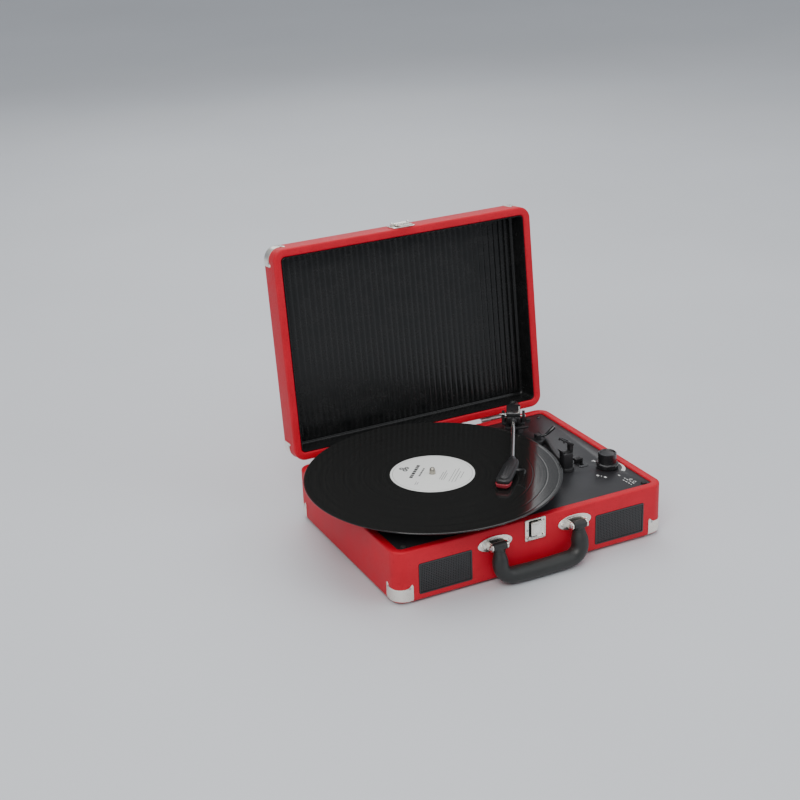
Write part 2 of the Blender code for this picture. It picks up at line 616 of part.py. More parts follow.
def tonearm():
    swing = axis_empty("swing_axis", (*ARM_XY, 0), (0, 0, ARM_SWING))
    yoke = box("arm_pivot", (-14.5, -9.0, 80.6), (14.5, 9.0, 84.0), black_plastic(), swing, corner=2.0, steps=3)
    for side in (-1, 1):
        join(yoke, box("yoke_cheek", (side * 12.7 - 1.8, -7.0, 83.0), (side * 12.7 + 1.8, 7.0, 94.6), None, swing))
    join(yoke, rod("pivot_stem", (0, 0, 68.0), 13.0, 4.0, "Z", None, swing, 20))
    cut(yoke, rod("axle_bore", (-20, 0, ARM_AXLE_Z), 40, 1.9, "X", None, swing, 16))
    tilt = axis_empty("tilt_axis", (0, 0, ARM_AXLE_Z), (0, 0, 0), swing)
    start, end = 6.0, 152.0
    arm = tube("arm_tube", [(0, -start, start * ARM_RISE), (0, -end, end * ARM_RISE)], TUBE_R, steel(), tilt, sides=4)
    join(arm, box("arm_block", (-8.5, -16.0, -4.2), (8.5, 20.0, 4.2), None, tilt, corner=2.0, steps=3),
         rod("arm_axle", (-14.3, 0, 0), 28.6, 1.5, "X", None, tilt, 16),
         rod("arm_weight", (0, 19.0, 0), 17.0, 7.0, "Y", None, tilt, 28))
    neck_y, _ = head_place()
    head_z = (-neck_y + 20) * ARM_RISE
    head = axis_empty("head_axis", (0, neck_y, 0), (0, 0, HEAD_TURN), tilt)
    shell = plate("headshell", [(-5.5, 6), (-8.5, -8), (-8.5, -46), (-6.5, -50), (6.5, -50), (8.5, -46), (8.5, -8), (5.5, 6)],
                  head_z + 0.2, 2.6, black_plastic(), head)
    join(shell, box("shell_socket", (-4.6, -9.0, head_z - 3.4), (4.6, 12.0, head_z + 3.0), None, head),
         tube("finger_lift", [(7.5, -18, head_z + 1.5), (15.5, -19, head_z + 1.5), (20.0, -24, head_z + 1.5)], 1.1, None,
              head, sides=2))
    cut(shell, rod("tube_socket", (0, -end - 2, -neck_y * ARM_RISE), 26, TUBE_R + 1.5 * GAP, "Y", None, tilt, 20))
    tip = RECORD_TOP + GAP - ARM_AXLE_Z
    cart = box("cartridge", (-7.0, -HEAD_LONG - 2.0, tip + 3.6), (7.0, -HEAD_LONG + 20.0, head_z - 0.1),
               material("cartridge_black", (0.03, 0.03, 0.03), 0.35), head)
    cart.name = "cartridge"
    nose = box("stylus", (-6.2, -HEAD_LONG - 3.5, tip + 1.4), (6.2, -HEAD_LONG + 12.0, tip + 3.3),
               material("stylus_red", (0.6, 0.02, 0.03), 0.35), head)
    join(nose, rod("stylus_tip", (0, -HEAD_LONG, tip), 2.4, 0.25, "Z", None, head, 10, 0.9))


def head_place():
    """Where the head's line meets the tube's, so that the stylus is ARM_LENGTH from the pivot."""
    side = HEAD_LONG * math.sin(math.radians(HEAD_TURN))
    ahead = HEAD_LONG * math.cos(math.radians(HEAD_TURN))
    return -(math.sqrt(ARM_LENGTH ** 2 - side ** 2) - ahead), side


# Lid

def lid():
    axis = axis_empty("lid_axis", HINGE, (-LID_ANGLE, 0, 0))
    half_w = WIDTH / 2
    low = (-half_w, LID_FRONT, LID_GAP)
    high = (half_w, LID_BACK, LID_GAP + LID_THICK)
    ceiling = LID_GAP + LID_THICK - LID_TOP_BOARD
    case = box("lid_case", low, (*high[:2], ceiling - GAP), leatherette(), axis, corner=CORNER_R)
    cut(case, box("lid_hollow", (WALL - half_w, LID_FRONT + WALL, -5), (half_w - WALL, LID_BACK - WALL, 60),
                  None, axis, corner=5.0, steps=3))
    box("lid_top", (*low[:2], ceiling), high, leatherette(), axis, corner=CORNER_R)
    inset = WALL + GAP
    liner = box("lid_liner", (inset - half_w, LID_FRONT + inset, LID_GAP + 0.6),
                (half_w - inset, LID_BACK - inset, ceiling - GAP), material("liner_black", (0.015, 0.015, 0.016), 0.25),
                axis, corner=4.7, steps=3)
    wall = inset + LINER_WALL
    cut(liner, box("liner_hollow", (wall - half_w, LID_FRONT + wall, -5),
                   (half_w - wall, LID_BACK - wall, ceiling - GAP - 2.0), None, axis, corner=3.7, steps=3))
    for name, x, y in (("front_left", -1, -1), ("front_right", 1, -1), ("back_left", -1, 1), ("back_right", 1, 1)):
        corner_guard("lid_corner_" + name, x, y, 1, low, high, axis)
    lid_catch(axis)
    return axis


def lid_catch(axis):
    front = LID_FRONT - GAP
    body = box("lid_latch_plate", (-15, front - 1.2, 3.0), (15, front, 24.0), chrome(), axis)
    for x in (-11.0, 11.0):
        join(body, box("catch_ear", (x - 1.2, front - 4.8, 14.0), (x + 1.2, front - 0.6, 19.5), None, axis))
    cut(body, rod("catch_bore", (-20, front - 3.0, 16.8), 40, 1.0, "X", None, axis, 12))
    hasp_axis = axis_empty("hasp_axis", (0, front - 3.0, 16.8), (0, 0, 0), axis)
    hasp = box("lid_hasp", (-8.5, -0.9, -21.0), (8.5, 0.7, 1.6), chrome(), hasp_axis)
    join(hasp, rod("hasp_pin", (-12.3, 0, 0), 24.6, 0.7, "X", None, hasp_axis, 12))
    cut(hasp, box("hasp_window", (-5.0, -5, -17.5), (5.0, 5, -8.0), None, hasp_axis))


def hinges(lid_axis):
    _, axis_y, axis_z = HINGE
    knuckle, pin = 2.5, 1.1
    for name, side in (("left", -1), ("right", 1)):
        x = side * HINGE_X
        leaf = box("hinge_base_leaf_" + name, (x - 20, DEPTH / 2 + GAP, 44), (x + 20, DEPTH / 2 + GAP + 1.3, axis_z - 0.5),
                   chrome())
        join(leaf, box("leaf_neck", (x - 20, DEPTH / 2 + GAP, axis_z - 3), (x + 20, axis_y, axis_z - 1.2)),
             rod("base_knuckle", (x - 20, axis_y, axis_z), 40, knuckle, "X", sides=20))
        cut(leaf, box("leaf_gap", (x - 8, DEPTH / 2 + 1.9, axis_z - 4), (x + 8, axis_y + 5, axis_z + 5)),
            box("leaf_trim", (x - 8, DEPTH / 2 - 2, axis_z - 3.4), (x + 8, axis_y + 5, axis_z + 5)),
            rod("base_bore", (x - 30, axis_y, axis_z), 60, pin + GAP, "X", sides=16))
        wing = box("hinge_lid_leaf_" + name, (x - 20, LID_BACK + GAP, 1.6), (x + 20, LID_BACK + GAP + 1.3, 23.0), chrome(),
                   lid_axis)
        join(wing, box("wing_neck", (x - 7.7, LID_BACK + GAP, 0.8), (x + 7.7, 0, 2.2), None, lid_axis),
             rod("lid_knuckle", (x - 7.7, 0, 0), 15.4, knuckle, "X", None, lid_axis, 20))
        cut(wing, box("wing_gap_a", (x - 21, LID_BACK + 0.1, -3), (x - 7.7, 5, 3.2), None, lid_axis),
            box("wing_gap_b", (x + 7.7, LID_BACK + 0.1, -3), (x + 21, 5, 3.2), None, lid_axis),
            rod("lid_bore", (x - 30, 0, 0), 60, pin + GAP, "X", None, lid_axis, 16))
        rod("hinge_pin_" + name, (x - 20.5, axis_y, axis_z), 41, pin, "X", steel(), sides=16)


base_case()
bottom_panel()
feet()
deck_panel()
base_guards()
grilles_and_speakers()
latch()
handle_brackets()
handle()
platter_group()
motor_and_belt()
electronics()
socket_panel()
volume_control()
speed_switch()
tonearm_base()
lift()
arm_rest()
tonearm()
hinges(lid())
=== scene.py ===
"""The suitcase record player's looks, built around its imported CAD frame. Lengths are in millimetres
until the helpers turn them into metres; +Z is up and the player's front faces -Y."""
import json
from math import cos, pi, radians, sin, sqrt, tau

import bmesh
import bpy
from mathutils import Matrix, Vector

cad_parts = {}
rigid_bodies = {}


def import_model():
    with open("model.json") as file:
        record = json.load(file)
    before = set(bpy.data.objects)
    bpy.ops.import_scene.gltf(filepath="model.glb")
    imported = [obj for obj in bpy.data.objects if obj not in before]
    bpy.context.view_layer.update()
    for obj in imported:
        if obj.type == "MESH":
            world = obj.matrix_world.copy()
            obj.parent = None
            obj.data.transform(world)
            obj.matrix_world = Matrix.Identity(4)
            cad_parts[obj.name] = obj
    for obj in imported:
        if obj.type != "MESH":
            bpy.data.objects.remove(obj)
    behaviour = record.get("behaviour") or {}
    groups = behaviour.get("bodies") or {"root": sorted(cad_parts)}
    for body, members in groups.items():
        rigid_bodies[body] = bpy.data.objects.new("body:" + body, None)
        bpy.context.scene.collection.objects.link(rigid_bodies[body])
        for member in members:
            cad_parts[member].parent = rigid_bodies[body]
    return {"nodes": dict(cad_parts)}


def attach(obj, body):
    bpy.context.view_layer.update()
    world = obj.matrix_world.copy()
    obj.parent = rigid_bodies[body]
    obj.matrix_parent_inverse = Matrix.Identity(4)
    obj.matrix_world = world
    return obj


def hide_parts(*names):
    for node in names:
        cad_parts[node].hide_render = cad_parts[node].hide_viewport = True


MM = 0.001
for obj in list(bpy.data.objects):
    bpy.data.objects.remove(obj, do_unlink=True)
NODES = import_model()["nodes"]
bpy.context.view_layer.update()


# ---- shader helpers

class Shader:
    """A Principled material with short calls for the nodes it needs."""

    def __init__(self, name, colour, roughness, metallic=0, **sockets):
        self.material = bpy.data.materials.new(name)
        self.material.use_nodes = True
        self.tree = self.material.node_tree
        self.main = self.tree.nodes["Principled BSDF"]
        self.main.inputs["Base Color"].default_value = (*colour, 1)
        self.main.inputs["Roughness"].default_value = roughness
        self.main.inputs["Metallic"].default_value = metallic
        for key, value in sockets.items():
            label = key.replace("_", " ").title().replace("Ior", "IOR")
            self.main.inputs[label].default_value = value
        self.where = self.node("TexCoord").outputs["Object"]
        self.bumps = None

    def node(self, kind, inputs=None, **settings):
        made = self.tree.nodes.new("ShaderNode" + kind)
        for key, value in settings.items():
            setattr(made, key, value)
        for key, value in (inputs or {}).items():
            made.inputs[key].default_value = value
        return made

    def link(self, a, b):
        self.tree.links.new(a, b)

    def stretched(self, x=1, y=1, z=1):
        made = self.node("Mapping", {"Scale": (x, y, z)})
        self.link(self.where, made.inputs["Vector"])
        return made.outputs["Vector"]

    def noise(self, scale, detail=3, rough=0.55, at=None):
        made = self.node("TexNoise", {"Scale": scale, "Detail": detail, "Roughness": rough})
        self.link(at or self.where, made.inputs["Vector"])
        return made.outputs["Fac"]

    def cells(self, scale, feature="F1", at=None, smooth=0):
        made = self.node("TexVoronoi", {"Scale": scale}, feature=feature)
        if feature == "SMOOTH_F1":
            made.inputs["Smoothness"].default_value = smooth
        self.link(at or self.where, made.inputs["Vector"])
        return made.outputs["Distance"]

    def ramp(self, value, stops):
        made = self.node("ValToRGB")
        while len(made.color_ramp.elements) < len(stops):
            made.color_ramp.elements.new(0.5)
        for element, (place, shade) in zip(made.color_ramp.elements, stops):
            element.position = place
            element.color = (*shade, 1) if isinstance(shade, tuple) else (shade, shade, shade, 1)
        self.link(value, made.inputs["Fac"])
        return made.outputs["Color"]

    def maths(self, operation, a, b=0, clamp=False):
        made = self.node("Math", operation=operation, use_clamp=clamp)
        for place, value in enumerate((a, b)):
            if isinstance(value, (int, float)):
                made.inputs[place].default_value = value
            else:
                self.link(value, made.inputs[place])
        return made.outputs["Value"]

    def between(self, value, low, high, to_low=0, to_high=1):
        made = self.node("MapRange",
            {"From Min": low, "From Max": high, "To Min": to_low, "To Max": to_high})
        self.link(value, made.inputs["Value"])
        return made.outputs["Result"]

    def mixed(self, factor, first, second):
        made = self.node("Mix", data_type="RGBA")
        for place, value in ((0, factor), (6, first), (7, second)):
            if isinstance(value, tuple):
                made.inputs[place].default_value = (*value, 1)
            elif isinstance(value, (int, float)):
                made.inputs[place].default_value = value
            else:
                self.link(value, made.inputs[place])
        return made.outputs[2]

    def radius(self):
        """The distance from the piece's own Z axis."""
        split = self.node("SeparateXYZ")
        self.link(self.where, split.inputs[0])
        square = [self.maths("MULTIPLY", split.outputs[k], split.outputs[k]) for k in (0, 1)]
        return self.maths("SQRT", self.maths("ADD", *square))

    def colour(self, value):
        self.link(value, self.main.inputs["Base Color"])
        return self

    def mottled(self, pattern, first, second, high=0.7, low=0.3):
        return self.colour(self.mixed(self.between(pattern, low, high), first, second))

    def rough(self, value, low, high, start=0, end=1):
        self.link(self.between(value, start, end, low, high), self.main.inputs["Roughness"])
        return self

    def bump(self, height, strength, distance):
        made = self.node("Bump", {"Strength": strength, "Distance": distance * MM})
        self.link(height, made.inputs["Height"])
        if self.bumps:
            self.link(self.bumps, made.inputs["Normal"])
        self.bumps = made.outputs["Normal"]
        self.link(self.bumps, self.main.inputs["Normal"])
        return self

    def paint_edge_highlight(self, shade, amount):
        """Painted edge highlight: lightens or darkens the colour where the surface turns sharply."""
        edge = self.node("NewGeometry").outputs["Pointiness"]
        highlight_mask = self.maths("MULTIPLY", self.between(edge, 0.52, 0.62), amount, clamp=True)
        now = self.main.inputs["Base Color"]
        source = now.links[0].from_socket if now.links else tuple(now.default_value)[:3]
        self.link(self.mixed(highlight_mask, source, shade), now)
        return self


def leatherette():
    s = Shader("red_leatherette", (0.60, 0.003, 0.018), 0.45, specular_ior_level=0.28)
    cells = s.cells(760, "SMOOTH_F1", s.stretched(1, 1, 1), 0.35)
    crease_relief_and_shade = s.ramp(s.cells(520, "DISTANCE_TO_EDGE"), [(0, 0), (0.09, 1)])
    broad = s.noise(34, 4, 0.6)
    fine = s.noise(1800, 2)
    tint = s.mixed(s.between(broad, 0.3, 0.7), (0.57, 0.003, 0.018), (0.67, 0.005, 0.026))
    # painted shade: the red is darkened in the grain's creases, where shade would fall
    tint = s.mixed(s.maths("MULTIPLY", s.maths("SUBTRACT", 1, crease_relief_and_shade), 0.55), tint,
        (0.36, 0.002, 0.010))
    # painted highlight: the cover's sharp edges, the rim most of all, take a paler red
    s.colour(tint).paint_edge_highlight((0.78, 0.05, 0.07), 0.3)
    s.rough(broad, 0.40, 0.52, 0.3, 0.7)
    return s.bump(cells, 0.35, 0.3).bump(crease_relief_and_shade, 0.5, 0.22).bump(fine, 0.15, 0.08).material


def nickel():
    s = Shader("polished_nickel", (0.93, 0.90, 0.83), 0.24, 1)
    smudge = s.noise(60, 5, 0.65)
    lines = s.noise(900, 2, 0.5, s.stretched(1, 1, 0.06))
    s.mottled(smudge, (0.96, 0.93, 0.86), (0.86, 0.83, 0.75), 0.7, 0.35)
    s.rough(smudge, 0.20, 0.36, 0.3, 0.75)
    return s.bump(lines, 0.05, 0.05).bump(s.noise(120, 2), 0.06, 0.25).material


def plain_steel(name="turned_steel", colour=(0.62, 0.62, 0.61), roughness=0.28):
    s = Shader(name, colour, roughness, 1)
    lines = s.noise(2200, 2, 0.5, s.stretched(0.05, 1, 1))
    patch = s.noise(90, 4)
    s.mottled(patch, colour, tuple(c * 0.82 for c in colour))
    s.rough(patch, roughness - 0.06, roughness + 0.12, 0.3, 0.7)
    return s.bump(lines, 0.12, 0.04).material


def moulded(name, colour, roughness, grain=900, depth=0.05, gloss=0, edge_highlight=0.25):
    """A moulded plastic: fine spark-eroded grain, faint clouding, paler edges that are a painted
    highlight.
    """
    s = Shader(name, colour, roughness, coat_weight=gloss, coat_roughness=0.12)
    cloud = s.noise(26, 4, 0.6)
    lighter = tuple(min(1, c * 1.35 + 0.004) for c in colour)
    s.mottled(cloud, tuple(c * 0.85 for c in colour), lighter)
    # painted highlight: sharp edges are lightened to about twice the plastic's colour
    s.paint_edge_highlight(tuple(min(1, c * 2.2 + 0.03) for c in colour), edge_highlight)
    s.rough(cloud, roughness - 0.05, roughness + 0.08, 0.3, 0.7)
    return s.bump(s.noise(grain, 3, 0.6), 0.35, depth).material


def vinyl():
    """Pressed vinyl: grooves round the spindle, with smooth bands between the tracks."""
    s = Shader("grooved_vinyl", (0.004, 0.004, 0.005), 0.1, specular_ior_level=0.5,
        anisotropic=0.35)
    s.link(s.node("Tangent", direction_type="RADIAL", axis="Z").outputs["Tangent"],
        s.main.inputs["Tangent"])
    radius = s.radius()
    groove = s.maths("SINE", s.maths("MULTIPLY", radius, tau / (0.45 * MM)))
    swell = s.node("TexNoise", noise_dimensions="1D")
    swell.inputs["Scale"].default_value = 420
    swell.inputs["Detail"].default_value = 5
    s.link(radius, swell.inputs["W"])
    bands = swell.outputs["Fac"]
    s.mottled(bands, (0.010, 0.010, 0.010), (0.015, 0.015, 0.014), 0.65, 0.35)
    s.rough(bands, 0.07, 0.13, 0.3, 0.7)
    dust = s.ramp(s.noise(1500, 1, 0.4), [(0, 0), (0.79, 0), (0.82, 1)])
    return s.bump(groove, 0.03, 0.01).bump(bands, 0.05, 0.02).bump(dust, 0.1, 0.02).material


def label_paper():
    """Off-white paper with plain printed rings and bars, and no lettering."""
    s = Shader("label_paper", (0.76, 0.77, 0.74), 0.55)
    radius = s.radius()
    fibre = s.noise(700, 4, 0.6)
    tint = s.mixed(s.between(fibre, 0.3, 0.7), (0.78, 0.79, 0.765), (0.87, 0.88, 0.855))
    ring = s.maths("COMPARE", radius, 46.6 * MM)
    ring.node.inputs[2].default_value = 0.3 * MM
    tint = s.mixed(s.maths("MULTIPLY", ring, 0.55), tint, (0.12, 0.12, 0.12))
    press = s.maths("COMPARE", radius, 17 * MM)
    press.node.inputs[2].default_value = 0.7 * MM
    s.colour(tint).rough(fibre, 0.45, 0.62, 0.3, 0.7)
    return s.bump(press, 0.5, 0.3).bump(fibre, 0.2, 0.05).material


def ink(name, colour):
    s = Shader(name, colour, 0.6)
    speck = s.noise(1600, 3)
    s.mottled(speck, colour, tuple(c * 0.82 for c in colour), 0.7, 0.35)
    return s.rough(speck, 0.5, 0.68, 0.3, 0.7).bump(speck, 0.2, 0.02).material


def deck_finish():
    """The deck: satin black with an even fine texture."""
    s = Shader("deck_satin_black", (0.018, 0.018, 0.02), 0.36, specular_ior_level=0.5)
    grain = s.cells(1500)
    cloud = s.noise(14, 4, 0.6)
    s.mottled(cloud, (0.014, 0.014, 0.0155), (0.026, 0.026, 0.029))
    # painted highlight: the deck's sharp edges are lightened to grey
    s.paint_edge_highlight((0.09, 0.09, 0.09), 0.3)
    s.rough(cloud, 0.30, 0.44, 0.3, 0.7)
    return s.bump(grain, 0.3, 0.06).material


def liner_finish():
    """The lid's tray: glossy black with a leathery ripple."""
    s = Shader("liner_gloss_black", (0.006, 0.006, 0.007), 0.24, specular_ior_level=0.34)
    pebble = s.cells(420, "SMOOTH_F1", None, 0.5)
    ripple = s.noise(60, 5, 0.6)
    s.mottled(ripple, (0.006, 0.0065, 0.0065), (0.012, 0.012, 0.012))
    s.rough(ripple, 0.2, 0.3, 0.3, 0.7)
    return s.bump(pebble, 0.12, 0.1).bump(ripple, 0.12, 0.35).material


def board_finish():
    s = Shader("painted_board", (0.03, 0.028, 0.026), 0.7)
    fibre = s.noise(240, 6, 0.7, s.stretched(1, 0.35, 1))
    s.mottled(fibre, (0.018, 0.017, 0.016), (0.055, 0.05, 0.045), 0.72)
    return s.rough(fibre, 0.6, 0.82, 0.3, 0.7).bump(fibre, 0.5, 0.2).material


def cloth(name, colour, pitch=1.3):
    """Woven speaker cloth."""
    s = Shader(name, colour, 0.75, sheen_weight=0.2)
    scale = {"Scale": 0.314 / (pitch * MM)}
    across = s.node("TexWave", scale, wave_type="BANDS", bands_direction="X")
    up = s.node("TexWave", scale, wave_type="BANDS", bands_direction="Z")
    for wave in (across, up):
        s.link(s.where, wave.inputs["Vector"])
    weave = s.maths("MULTIPLY", across.outputs["Fac"], up.outputs["Fac"])
    s.colour(s.mixed(weave, tuple(c * 0.5 for c in colour), tuple(c * 1.7 for c in colour)))
    return s.rough(weave, 0.62, 0.85).bump(weave, 0.7, 0.4).material


def floor_finish():
    s = Shader("pale_floor", (0.66, 0.68, 0.71), 0.55)
    drift = s.noise(1.3, 3)
    s.mottled(drift, (0.64, 0.66, 0.69), (0.68, 0.70, 0.73))
    return s.rough(drift, 0.5, 0.6, 0.3, 0.7).bump(s.noise(900, 2), 0.05, 0.05).material


RED, NICKEL, STEEL = leatherette(), nickel(), plain_steel()
CHROME = plain_steel("chromed_tube", (0.93, 0.93, 0.92), 0.16)
DULL = plain_steel("zinc_plate", (0.40, 0.40, 0.39), 0.4)
AXLE = plain_steel("spindle_steel", (0.50, 0.47, 0.40), 0.22)
BLACK = moulded("black_plastic", (0.013, 0.013, 0.014), 0.34)
GLOSS = moulded("gloss_plastic", (0.008, 0.008, 0.009), 0.2, 500, 0.02, 0.4)
GRIP = moulded("grip_black", (0.016, 0.017, 0.016), 0.42, 620, 0.12, 0, 0.15)
RUBBER = moulded("black_rubber", (0.012, 0.012, 0.012), 0.75, 500, 0.1, 0, 0.1)
MAT = moulded("mat_rubber", (0.016, 0.016, 0.017), 0.8, 700, 0.15, 0, 0.1)
STYLUS_RED = moulded("stylus_red", (0.30, 0.008, 0.022), 0.28, 400, 0.03, 0.4)
DECK, LINER, BOARD = deck_finish(), liner_finish(), board_finish()
VINYL, LABEL = vinyl(), label_paper()
WHITE_INK, GREY_INK = ink("white_print", (0.72, 0.72, 0.70)), ink("grey_print", (0.20, 0.20, 0.20))
CLOTH = cloth("speaker_cloth", (0.018, 0.019, 0.018))
BRASS = plain_steel("brass", (0.72, 0.52, 0.22), 0.25)
CIRCUIT = moulded("circuit_green", (0.01, 0.12, 0.05), 0.4, 300, 0.1)
CONE = moulded("cone_paper", (0.03, 0.03, 0.03), 0.8, 260, 0.3)
RCA_RED = moulded("socket_red", (0.5, 0.015, 0.015), 0.35)
RCA_WHITE = moulded("socket_white", (0.75, 0.75, 0.72), 0.35)


# ---- mesh helpers

def vec(*point):
    return Vector(point) * MM


def link(obj, look, smooth=35):
    bpy.context.scene.collection.objects.link(obj)
    if look:
        obj.data.materials.append(look)
    if obj.type == "MESH" and smooth:
        obj.data.shade_smooth()
        obj.data.set_sharp_from_angle(angle=radians(smooth))
    return obj


def finish(obj, body, slot=None, *replaced):
    """Puts a finished piece on its body and hides the CAD nodes it stands for; the slot argument is
    not used.
    """
    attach(obj, body)
    if replaced:
        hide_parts(*replaced)
    return obj


def assemble(name, pieces, body, slot, *replaced):
    return finish(joined(name, *pieces), body, slot, *replaced)


def from_bmesh(name, bm, look, place=None, smooth=35):
    bmesh.ops.recalc_face_normals(bm, faces=bm.faces)
    mesh = bpy.data.meshes.new(name)
    bm.to_mesh(mesh)
    bm.free()
    obj = bpy.data.objects.new(name, mesh)
    if place is not None:
        obj.matrix_world = place
    return link(obj, look, smooth)


def rings(bm, loops, close_ends=True, ring=False):
    """Skins a list of equal-length loops of points, in metres."""
    made = [[bm.verts.new(p) for p in loop] for loop in loops]
    count = len(made[0])
    pairs = list(zip(made, made[1:])) + ([(made[-1], made[0])] if ring else [])
    for a, b in pairs:
        for i in range(count):
            k = (i + 1) % count
            bm.faces.new((a[i], a[k], b[k], b[i]))
    if close_ends and not ring:
        bm.faces.new(list(reversed(made[0])))
        bm.faces.new(made[-1])
    return made


def turned(profile, look, place=None, steps=64, smooth=35, name="turned"):
    """A body of revolution about Z from (radius, height) points; a radius of 0 closes it."""
    bm = bmesh.new()
    loops = []
    for r, h in profile:
        loops.append([vec(r * cos(tau * i / steps), r * sin(tau * i / steps), h)
            for i in range(steps)])
    closed = profile[0] == profile[-1]
    if closed:
        loops.pop()
    rings(bm, loops, close_ends=False, ring=closed)
    bmesh.ops.remove_doubles(bm, verts=bm.verts, dist=1e-7)
    if not closed:
        bmesh.ops.holes_fill(bm, edges=[e for e in bm.edges if e.is_boundary])
    return from_bmesh(name, bm, look, place, smooth)


def arc(cx, cy, radius, start, end, count):
    turns = [radians(start + (end - start) * i / (count - 1)) for i in range(count)]
    return [(cx + radius * cos(a), cy + radius * sin(a)) for a in turns]


def rounded(half_x, half_y, radius, steps=6, cx=0, cy=0):
    """Outline of a rectangle with round corners, anticlockwise."""
    radius = max(min(radius, half_x - 0.01, half_y - 0.01), 0.01)
    out = []
    for sx, sy, start in ((1, 1, 0), (-1, 1, 90), (-1, -1, 180), (1, -1, 270)):
        out += arc(cx + sx * (half_x - radius), cy + sy * (half_y - radius), radius, start, start
            + 90, steps + 1)
    return out


def evaluated(obj):
    """A mesh of the object with its modifiers applied."""
    graph = bpy.context.evaluated_depsgraph_get()
    return bpy.data.meshes.new_from_object(obj.evaluated_get(graph))


def prism(outline, low, high, look, place=None, bevel=0.3, segments=2, holes=(), name="prism"):
    """An outline given a thickness along Z, with soft edges."""
    curve = bpy.data.curves.new(name, "CURVE")
    curve.dimensions, curve.fill_mode = "2D", "BOTH"
    curve.extrude = (high - low) / 2 * MM
    for loop in (outline, *holes):
        spline = curve.splines.new("POLY")
        spline.points.add(len(loop) - 1)
        for spot, (x, y) in zip(spline.points, loop):
            spot.co = (x * MM, y * MM, 0, 1)
        spline.use_cyclic_u = True
    shape = bpy.data.objects.new("outline", curve)
    bpy.context.scene.collection.objects.link(shape)
    bpy.context.view_layer.update()
    flat = evaluated(shape)
    bpy.data.objects.remove(shape)
    bm = bmesh.new()
    bm.from_mesh(flat)
    bmesh.ops.remove_doubles(bm, verts=bm.verts, dist=1e-6)
    bmesh.ops.translate(bm, verts=bm.verts, vec=(0, 0, (low + high) / 2 * MM))
    bmesh.ops.dissolve_limit(bm, angle_limit=0.01, verts=bm.verts, edges=bm.edges)
    obj = from_bmesh(name, bm, look, place)
    if bevel:
        soften(obj, bevel, segments, 50)
    return obj


def soften(obj, width, segments=2, angle=40):
    step = obj.modifiers.new("soft_edges", "BEVEL")
    step.width, step.segments = width * MM, segments
    step.limit_method, step.angle_limit = "ANGLE", radians(angle)
    step.harden_normals = False
    return obj


def block(low, high, look, place=None, corner=1, bevel=0.4, segments=3):
    """A moulded block: rounded upright edges, soft top and bottom edges."""
    cx, cy = (low[0] + high[0]) / 2, (low[1] + high[1]) / 2
    outline = rounded((high[0] - low[0]) / 2, (high[1] - low[1]) / 2, corner, 5, cx, cy)
    return prism(outline, low[2], high[2], look, place, bevel, segments)


def sweep(points, radii, look, place=None, sides=16, flat=1, smooth=50, name="sweep"):
    """A round bar of changing radius along points, its ends closed with flat caps."""
    path = [Vector(p) for p in points]
    bm = bmesh.new()
    loops, side = [], None
    for i, point in enumerate(path):
        along = (path[min(i + 1, len(path) - 1)] - path[max(i - 1, 0)]).normalized()
        if side is None:
            side = along.orthogonal().normalized()
        side = (side - along * side.dot(along)).normalized()
        other = along.cross(side)
        r = radii[i] if hasattr(radii, "__len__") else radii
        loops.append([(point + side * r * cos(tau * k / sides)
            + other * r * flat * sin(tau * k / sides)) * MM for k in range(sides)])
    rings(bm, loops)
    return from_bmesh(name, bm, look, place, smooth)


def joined(name, *pieces):
    """Joins finished pieces into one mesh, their modifiers applied."""
    graph = bpy.context.evaluated_depsgraph_get()
    bpy.context.view_layer.update()
    bm, looks = bmesh.new(), []
    for piece in pieces:
        mesh = bpy.data.meshes.new_from_object(piece.evaluated_get(graph))
        mesh.transform(piece.matrix_world)
        if piece.matrix_world.determinant() < 0:
            mesh.flip_normals()
        start = len(bm.faces)
        bm.from_mesh(mesh)
        bm.faces.ensure_lookup_table()
        own = [m for m in mesh.materials]
        for face in bm.faces[start:]:
            look = own[face.material_index] if own else None
            if look not in looks:
                looks.append(look)
            face.material_index = looks.index(look)
        bpy.data.meshes.remove(mesh)
    for piece in pieces:
        bpy.data.objects.remove(piece, do_unlink=True)
    mesh = bpy.data.meshes.new(name)
    bm.to_mesh(mesh)
    bm.free()
    for look in looks:
        mesh.materials.append(look)
    obj = bpy.data.objects.new(name, mesh)
    link(obj, None, 0)
    mesh.set_sharp_from_angle(angle=radians(38))
    return obj


def quads(bm, grid):
    """Fills the cells of a grid of vertices."""
    for a, b in zip(grid, grid[1:]):
        for k in range(len(a) - 1):
            bm.faces.new((a[k], b[k], b[k + 1], a[k + 1]))


def thicken(obj, thickness, offset=0):
    step = obj.modifiers.new("sheet", "SOLIDIFY")
    step.thickness, step.offset = thickness * MM, offset


def cut(obj, *cutters):
    """Cuts shapes out of obj now, so that nothing is left over."""
    for cutter in cutters:
        step = obj.modifiers.new("cut", "BOOLEAN")
        step.object, step.operation, step.solver = cutter, "DIFFERENCE", "EXACT"
    bpy.context.view_layer.update()
    mesh = evaluated(obj)
    obj.modifiers.clear()
    obj.data = mesh
    for cutter in cutters:
        bpy.data.objects.remove(cutter, do_unlink=True)
    mesh.shade_smooth()
    mesh.set_sharp_from_angle(angle=radians(35))
    return obj


def frame(origin, turn=(0, 0, 0)):
    """A local frame that stands at origin, turned by degrees about X, Y and Z."""
    spin = Matrix.Identity(4)
    for axis, angle in zip("XYZ", turn):
        spin = Matrix.Rotation(radians(angle), 4, axis) @ spin
    return Matrix.Translation(vec(*origin)) @ spin


def facing(origin, normal, up=(0, 0, 1)):
    """A local frame whose Z is the normal, and whose Y is near up."""
    z = Vector(normal).normalized()
    x = Vector(up).cross(z)
    x = x.normalized() if x.length > 1e-6 else Vector((1, 0, 0))
    y = z.cross(x)
    turn = Matrix((x, y, z)).transposed().to_4x4()
    return Matrix.Translation(vec(*origin)) @ turn


